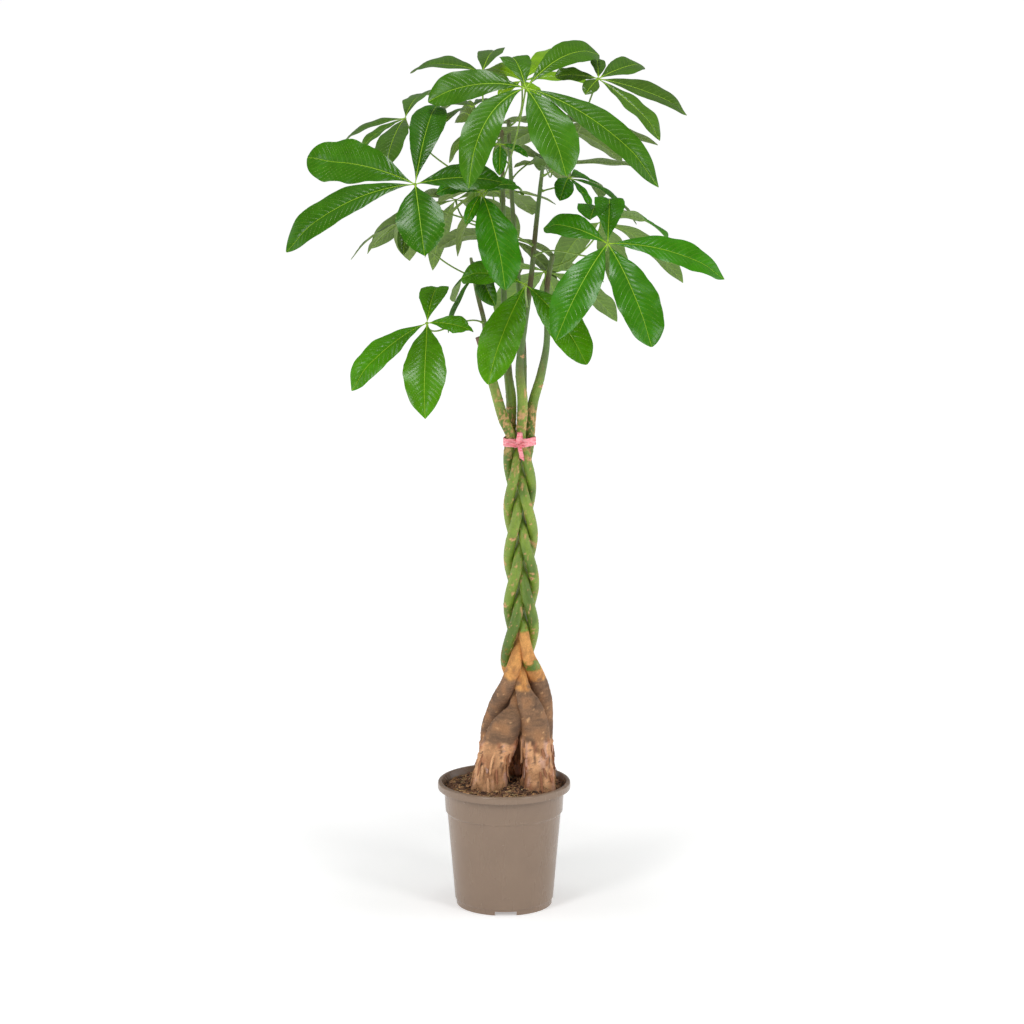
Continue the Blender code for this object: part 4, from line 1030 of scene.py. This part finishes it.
def make_trunk(trunk, number, finish):
    random = np.random.default_rng(100 + number)
    seed = 1000 * (number + 1)
    cut = trunk.name == "trunk_left"
    centres, radii = pressed(trunk, *trunk_line(trunk))
    plain = tube_points(centres, radii, TRUNK_SIDES)
    height = plain[..., 2]
    paint, corky = paint_green(plain, seed)
    shoot = shoot_paint(plain, (0.35, 1.4), (0.012, 0.012, 0.03), seed + 20)
    paint = layer(paint, shoot, above(height, 0.735, 0.80))
    crust = above(height, 0.640, 0.680) * below(height, 0.712, 0.735)
    crust = crust * above(noise(plain, 0.0030, seed + 21, 2), 0.05, 0.30)
    paint = layer(paint, SCAR, crust * 0.9)
    stretches = ((0.43, 0.66, 0.060, 1), (0.695, min(trunk.upper[-1][2], 0.80), 0.030, 0.9))
    patch, core, rim = scar_marks(plain, round_angles(TRUNK_SIDES), radii, random, stretches)
    paint = layer(layer(paint, SCAR, patch), SCAR_CORE, core * 0.8)
    swell = 0.00035 * corky + 0.0004 * crust + 0.0005 * rim + 0.0003 * patch - 0.0003 * core
    paint, lump, flaky = paint_bark(paint, plain, trunk, seed)
    if cut:
        paint = layer(paint, CUT_WOOD, above(height, 0.803, 0.812))
    shape = Shape()
    points = tube_points(centres, radii[:, None] + swell * (1 - flaky) + lump, TRUNK_SIDES)
    add_tube(shape, points, paint, dome=0.0006 if cut else 0.0015)
    add_peel(shape, trunk, centres, radii, random)
    add_root_fibres(shape, centres, radii, random)
    if cut:
        skin = tube_points(*shoot_line(), 20)
        add_tube(shape, skin, shoot_paint(skin, (0.4, 1.2), (0.01, 0.01, 0.02), 555), dome=0.0012)
    shape.make(f"{trunk.name}_bark", [finish], "bark", trunk.name)


def add_peel(shape, trunk, centres, radii, random):
    """Curls of peeling bark on the flaky foot."""
    rows, thick = 10, 0.0005
    share = np.linspace(0, 1, rows)
    for _ in range(PEELS if trunk.foot_radius > STOUT_FOOT else PEELS_ON_SLIM):
        turn = random.uniform(0, 2 * pi)
        top = random.uniform(0.196, trunk.flake_top - 0.004)
        length, width = random.uniform(0.012, 0.034), random.uniform(0.0026, 0.0060)
        i = np.searchsorted(centres[:, 2], top - length * share)
        away = radii[i] + 0.0014 + random.uniform(0.0016, 0.0030, rows) * share**2
        line = centres[i] + compass(turn + 0.10 * share) * away[:, None]
        out = compass(turn)
        side = compass(turn + pi / 2) * (width / 2 * np.sin(pi * mix(0.12, 0.95, share)) ** 0.7)[:, None]
        edges = line - side + out * 0.0008, line + side + out * 0.0002
        points = np.stack((edges[0], line + out * thick, edges[1], line - out * thick), 1)
        tone = (FLAKE_PINK, FLAKE_TAN, FLAKE_RED)[random.integers(3)]
        shape.add(points, capped_faces(rows, 4), tone * random.uniform(0.7, 1.05))


def add_root_fibres(shape, centres, radii, random):
    """Fibres where a trunk meets the soil."""
    share = np.linspace(0, 1, 8)
    for _ in range(ROOT_FIBRES):
        turn = random.uniform(0, 2 * pi)
        low = random.uniform(0.176, 0.186)
        length = random.uniform(0.006, 0.020)
        spin = turn + random.normal(0, 0.25) * share
        i = np.searchsorted(centres[:, 2], low)
        away = radii[i] + 0.0007 + random.uniform(0.0003, 0.0035) * share**1.5
        line = compass(spin) * away[:, None] + (*centres[i][:2], low)
        line[:, 2] += length * (share - 0.3)
        tone = FIBRE_TONES[random.integers(4)]
        add_tube(shape, tube_points(line, 0.00035 * (1.2 - share), 5), tone * random.uniform(0.6, 1.0))


# ---------- tie
def tie_outline(grow):
    """The outline of a band drawn tight round the five trunks."""
    points = []
    for trunk in TRUNKS:
        for step in (-0.55, -0.25, 0.0, 0.25, 0.55):
            height = TIE_HEIGHT + step * TIE_WIDTH
            ring = compass(round_angles(24))[:, :2] * (plait_radius(height) + grow)
            points += [Vector(point) for point in plait_centre(trunk, height) + ring]
    return np.array([points[i][:] for i in convex_hull_2d(points)])


def along_outline(outline, count):
    """The closed outline as count points at even steps along it, from the front."""
    closed = np.concatenate((outline, outline[:1]))
    steps = np.linalg.norm(np.diff(closed, axis=0), axis=1)
    walked = np.concatenate(((0,), np.cumsum(steps)))
    at = np.linspace(0, walked[-1], count, endpoint=False)
    ring = np.stack([np.interp(at, walked, closed[:, k]) for k in range(2)], -1)
    front = int(np.argmin(ring[:, 1] + 0.3 * np.abs(ring[:, 0] - AXIS_TIE)))
    return np.roll(ring, -front, axis=0)


def add_band(shape, low, high, grow, lean, seed):
    """One turn of tape round the trunks: a thin closed strip, folded into ridges."""
    count, rows = 220, 13
    ring = along_outline(tie_outline(TIE_SLACK + grow), count)
    out = unit(ring - ring.mean(0))
    level = TIE_HEIGHT + lean * np.cos(round_angles(count))
    columns = []
    shares = [k / (rows - 1) for k in range(rows)]
    for share, face in [(share, 1) for share in shares] + [(share, -1) for share in reversed(shares)]:
        height = level + mix(low, high, share)
        here = np.column_stack((ring, height))
        fold = noise(here * np.array((1, 1, 3)), (0.018, 0.018, 0.010), seed, 2)
        crimp = 0.00035 * np.sin(3.5 * pi * share + 2 * fold) + 0.0003 * fold + TAPE_SKIN * face
        height = height + 0.0005 * noise(here, 0.009, seed + 1, 2)
        columns.append(np.column_stack((ring + out * crimp[:, None], height)))
    points = np.stack(columns, 1)
    tint = layer(PINK, PINK_LIGHT, 0.4 + 1.2 * noise(points, (0.010, 0.010, 0.003), seed + 2))
    tint = layer(tint, PINK_DEEP, above(noise(points, (0.014, 0.014, 0.0022), seed + 3, 2), 0.22, 0.5))
    faces = np.array(grid_faces(count + 1, len(columns))) % (count * len(columns))
    shape.add(points, faces.tolist(), tint)


def add_ribbon(shape, seat, width, seed, slant, keys):
    """A strip of tape, from a row of RIBBONS. seat is where the tape is tied."""
    rows, columns = 42, 9
    share = np.linspace(0, 1, rows)
    x, away, z, turn = np.array([through(keys, s) for s in share]).T
    line = np.stack((x, -away, z), -1) + seat
    along = unit(np.gradient(line, axis=0))
    flat = compass(turn)
    flat = unit(flat - along * (flat * along).sum(-1, keepdims=True))
    out = np.cross(flat, along)[:, None]
    side = np.linspace(-1, 1, columns)[None, :, None]
    reach = line[:, None] + flat[:, None] * side * width / 2
    reach = reach + along[:, None] * side * slant * above(share, 0.6, 1.0)[:, None, None]
    crease = 0.0005 * np.sin(4.2 * side[..., 0]) * (0.4 + share)[:, None]
    crease = crease + 0.0004 * noise(reach, 0.005, seed, 2)
    reach = reach + out * crease[..., None]
    points = np.concatenate((reach + out * RIBBON_SKIN, (reach - out * RIBBON_SKIN)[:, ::-1]), axis=1)
    tint = layer(PINK_LIGHT, PINK, 0.4 + 1.4 * noise(points, 0.004, seed + 1, 2))
    shape.add(points, capped_faces(rows, 2 * columns), tint)


def make_tie(finish):
    band = Shape()
    add_band(band, -0.0060, 0.0058, 0.0005, 0.0004, 61)
    add_band(band, -0.0048, 0.0022, 0.0010, -0.0009, 62)
    add_band(band, 0.0004, 0.0052, 0.0011, 0.0011, 63)
    band.make("tie_tape", [finish], "tape", "tie_band")
    low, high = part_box("tie_knot")
    knot = Shape()
    for row in RIBBONS:
        add_ribbon(knot, (AXIS_TIE, high.y - 0.0006, TIE_HEIGHT - 0.002), *row)
    knot.make("tie_bow", [finish], "tape", "tie_knot")


# ---------- leaves
def leaf_axes(leaf):
    """The leaf's upper direction, and the two directions its bearings are measured in."""
    turn, tilt = radians(leaf.facing), radians(leaf.tilt)
    up = np.array((sin(tilt) * cos(turn), sin(tilt) * sin(turn), cos(tilt)))
    ahead = np.array((cos(tilt) * cos(turn), cos(tilt) * sin(turn), -sin(tilt)))
    return up, ahead, np.cross(up, ahead)


def midrib(leaf, bearing, length, share):
    """Points of a leaflet's midrib at these shares of its length: arched, then drooping."""
    up, ahead, left = leaf_axes(leaf)
    out = ahead * cos(radians(bearing)) + left * sin(radians(bearing))
    share = share[:, None]
    sag = np.array((0, 0, leaf.droop))
    return np.array(leaf.hub) + (out * share + up * (RISE * share * (1 - share)) - sag * share**2) * length


def blade_axes(line, up):
    """Directions across a blade to its left, and up from it, along its midrib."""
    along = unit(np.gradient(line, axis=0))
    across = unit(np.cross(up, along))
    return along, across, np.cross(along, across)


def blade_line(leaf, bearing, length, habit, share, twist):
    """A leaflet's own midrib, bent and curled, and the directions along, across and above it."""
    up = leaf_axes(leaf)[0]
    line = midrib(leaf, bearing, length, share)
    _, across, lift = blade_axes(line, up)
    sideways = habit.bend * share**2 * (3 - 2 * share) - habit.bow * 4 * share * (1 - share)
    curl = habit.curl * above(share, 0.72, 1.0) ** 1.5
    line = line + across * (length * sideways)[:, None] - lift * (length * curl)[:, None]
    along, across, lift = blade_axes(line, up)
    turn = (twist * share**1.4 + habit.turn * above(share, 0.0, 0.35))[:, None]
    turned = across * np.cos(turn) + lift * np.sin(turn)
    return line, along, turned, lift * np.cos(turn) - across * np.sin(turn)


def add_leaflet(shape, leaf, bearing, length, width_share, random):
    """One leaflet as a thin closed blade: veined and quilted, with a wavy edge, on its own short stalk."""
    habit = HABITS.get((leaf.name, bearing))
    if habit is None:
        habit = Habit(random.uniform(0.05, 0.55), random.uniform(0.01, 0.06), random.normal(0, 0.012))
    share = np.linspace(0, 1, round(length / STATION) + 2)
    line, along, across, above_it = blade_line(leaf, bearing, length, habit, share, random.normal(0, 0.14))
    outline, blunt = (np.array([through(keys, s)[0] for s in share]) for keys in (OUTLINE, BLUNT_OUTLINE))
    half = (length * habit.wide * width_share / 2 * mix(outline, blunt, habit.blunt))[:, None]
    share = share[:, None]
    side = np.array([-v for v in reversed(ACROSS)] + list(ACROSS[1:]))
    size = np.abs(side)
    phase = random.uniform(0, 2 * pi, 6)

    def ripple(cycles, left, right):
        return np.sin(2 * pi * cycles * share + np.where(side > 0, left, right))

    wave = 1 + 0.020 * ripple(2.6, *phase[:2]) + 0.010 * ripple(8.3, *phase[2:4])
    reach = half * side * wave
    full = above(share, 0.04, 0.20) * below(share, 0.86, 0.985)
    lift = half * (0.22 * size - 0.11 * size**2)
    ruffle = ripple(random.uniform(2.2, 3.6), *phase[4:])
    lift = lift + half * (random.uniform(0.03, 0.09) * ruffle * size**2.2) * full
    slant = half / length * (0.62 * size + 0.30 * size**2)
    vein_at = (share - slant) * length / VEIN_SPACING + 0.5
    quilt = np.sin(pi * vein_at) ** 2 * above(size, 0.02, 0.30) * (1 - size**3)
    lift = lift + QUILT.get(leaf.tone, 0.0007) * quilt * full
    groove = np.exp(-((reach / 0.0012) ** 2))
    stalk = below(share * length, 0.003, 0.010)
    thick = mix(BLADE, 0.0014, stalk) / 2 * (1 - size**4)
    blade = line[:, None] + across[:, None] * reach[..., None]
    if habit.torn:
        spots = np.stack((side * 0.9, 0 * side + 0.3, 0 * side), -1)
        bite = 0.55 + 0.9 * noise(spots, (0.35, 1, 1), seed=17, octaves=2)
        bite = habit.torn * bite * above(share, 0.45, 1.0)
        blade = blade - along[:, None] * (bite * length)[..., None]
    rib = 0.0009 * groove * (1 - 0.6 * share) * (1 - stalk)
    top = blade + above_it[:, None] * (lift + thick - 0.00045 * groove * full)[..., None]
    bottom = blade + above_it[:, None] * (lift - thick - rib)[..., None]

    def ringed(upper, lower):
        """Columns across the upper side, then back across the lower one."""
        return np.concatenate((upper, lower[:, -2:0:-1]), axis=1)

    ring = ringed(top, bottom)
    tone = TONES[leaf.tone] * random.uniform(0.86, 1.14)
    tone = tone * np.array((random.uniform(0.90, 1.12), 1, random.uniform(0.85, 1.15)))
    shade = (1 + 0.12 * noise(ring, 0.03, seed=210, octaves=2)) * (1 + 0.16 * (share - 0.45))
    paint = layer(tone * shade[..., None], MIDRIB * 0.9, stalk)
    rib_width = (1.25 - 0.75 * share) * 0.001
    marks = np.stack(np.broadcast_arrays(vein_at, size, np.abs(reach) / rib_width), -1)
    rows, columns = ring.shape[:2]
    sides = [0] * (len(side) - 1) + [1] * (columns - len(side) + 1)
    shape.add(ring, capped_faces(rows, columns), paint, ringed(marks, marks), sides * (rows - 1) + [0, 0])


def petiole_line(leaf, lines):
    """The leaf stalk's centres from the hub back to the stem it grows on."""
    up = leaf_axes(leaf)[0]
    centres, radii = lines[leaf.stem]
    k = min(range(len(centres) - 1), key=lambda i: abs((centres[i][2] + centres[i + 1][2]) / 2 - leaf.height))
    node = centres[k]
    along = unit(centres[k + 1] - node)
    reach = np.array(leaf.hub) - node
    out = unit(reach - along * (reach @ along))
    start = node + out * (radii[k] - 0.0006)
    elbow = start + out * (0.002 + PETIOLE_SEAT)
    hub = np.array(leaf.hub) - up * 0.003
    distance = np.linalg.norm(hub - elbow)
    leave = unit(out + along * 0.5) * distance * 0.35
    pull = np.array((elbow, elbow + leave, hub - up * distance * 0.30, hub))
    t = np.linspace(1, 0, 34)[:, None]
    curve = np.hstack(((1 - t) ** 3, 3 * t * (1 - t) ** 2, 3 * t * t * (1 - t), t**3)) @ pull
    return np.array((hub + up * 0.0022, *curve, mix(elbow, start, 0.5), start))


def add_petiole(shape, leaf, line):
    share = np.linspace(0, 1, len(line))
    radii = PETIOLE_RADIUS * (0.80 + 0.85 * above(share, 0.90, 0.99) + 0.35 * below(share, 0.01, 0.07))
    points = tube_points(line, radii, 12)
    share = share[:, None]
    mottle = noise(points, (0.01, 0.01, 0.02), seed=88, octaves=2)
    shade = layer(STALK, STALK * 0.55, 0.35 * share + 0.5 * mottle)
    if leaf.tone in ("bright", "low", "lime", "crown"):
        shade = layer(shade, MIDRIB * 0.8, 0.6 * (1 - share))
    add_tube(shape, points, shade, dome=0.0006, finish=2)


def add_hub(shape, leaf):
    """The small knob that the leaflets' stalks grow from."""
    up, ahead, left = leaf_axes(leaf)
    lean = np.linspace(0.25, pi - 0.25, 8)[:, None, None]
    turn = round_angles(14)[:, None]
    flat = ahead * np.cos(turn) + left * np.sin(turn)
    points = np.array(leaf.hub) + HUB_RADIUS * (flat * np.sin(lean) + 0.6 * up * np.cos(lean))
    add_tube(shape, points, MIDRIB * 0.62, dome=0.0002, finish=2)


def make_leaf(leaf, lines, finishes, number):
    random = np.random.default_rng(500 + number)
    shape = Shape()
    for bearing, millimetres, *width_share in leaf.fan:
        add_leaflet(shape, leaf, bearing, millimetres / 1000, *(width_share or [LEAFLET_SHARE]), random)
    add_petiole(shape, leaf, petiole_line(leaf, lines))
    add_hub(shape, leaf)
    shape.make(f"{leaf.name}_blades", finishes, "leaf", leaf.name, sharp=LEAF_SHARP)


# ---------- studio
def make_floor():
    """White ground that shines a little, more so far from the plant, so that it looks endless."""
    bpy.ops.mesh.primitive_plane_add(size=120, location=(0, 20, CAD_BOX[0][2] - 0.0003))
    floor = bpy.context.object
    floor.name = "studio_floor"
    made = Finish("studio_white", Roughness=0.85, Emission_Color=(1, 1, 1, 1))
    where = made.node("ShaderNodeNewGeometry").outputs["Position"]
    away = made.node("ShaderNodeVectorMath", {0: where}, operation="LENGTH").outputs["Value"]
    made.set(Base_Color=made.blend(made.grain(3, 2), (0.84, 0.84, 0.84), (0.86, 0.86, 0.86)),
             Emission_Strength=made.ramp(away, 0.3, 4.0, 0.36, 0.78))
    floor.data.materials.append(made.material)


def make_light(name, place_at, aim, size, power):
    data = bpy.data.lights.new(name, "AREA")
    data.shape = "RECTANGLE"
    data.size, data.size_y = size
    data.energy = power
    light = new_object(name, data)
    light.location = place_at
    light.rotation_euler = (Vector(aim) - Vector(place_at)).to_track_quat("-Z", "Y").to_euler()


def make_studio():
    scene = bpy.context.scene
    scene.view_settings.view_transform = "Standard"
    world = bpy.data.worlds.new("studio_world")
    world.use_nodes = True
    background = world.node_tree.nodes["Background"]
    background.inputs["Color"].default_value = (1, 1, 1, 1)
    background.inputs["Strength"].default_value = WORLD_STRENGTH
    scene.world = world
    make_floor()
    for row in LIGHTS:
        make_light(*row)


def make_camera():
    data = bpy.data.cameras.new("camera")
    data.lens, data.sensor_width = LENS, SENSOR
    data.clip_end = 200
    camera = new_object("camera", data)
    camera.location = CAMERA_PLACE
    camera.rotation_euler = (radians(90 - CAMERA_PITCH), 0, 0)
    bpy.context.scene.camera = camera


def main():
    make_studio()
    make_camera()
    make_pot()
    make_soil()
    bark = bark_finish()
    for number, trunk in enumerate(TRUNKS):
        make_trunk(trunk, number, bark)
    make_tie(tape_finish())
    lines = {trunk.name: trunk_line(trunk) for trunk in TRUNKS}
    lines["side_shoot"] = shoot_line()
    finishes = [leaf_finish("leaf_top", False), leaf_finish("leaf_under", True), stalk_finish()]
    for number, leaf in enumerate(LEAVES):
        make_leaf(leaf, lines, finishes, number)


main()
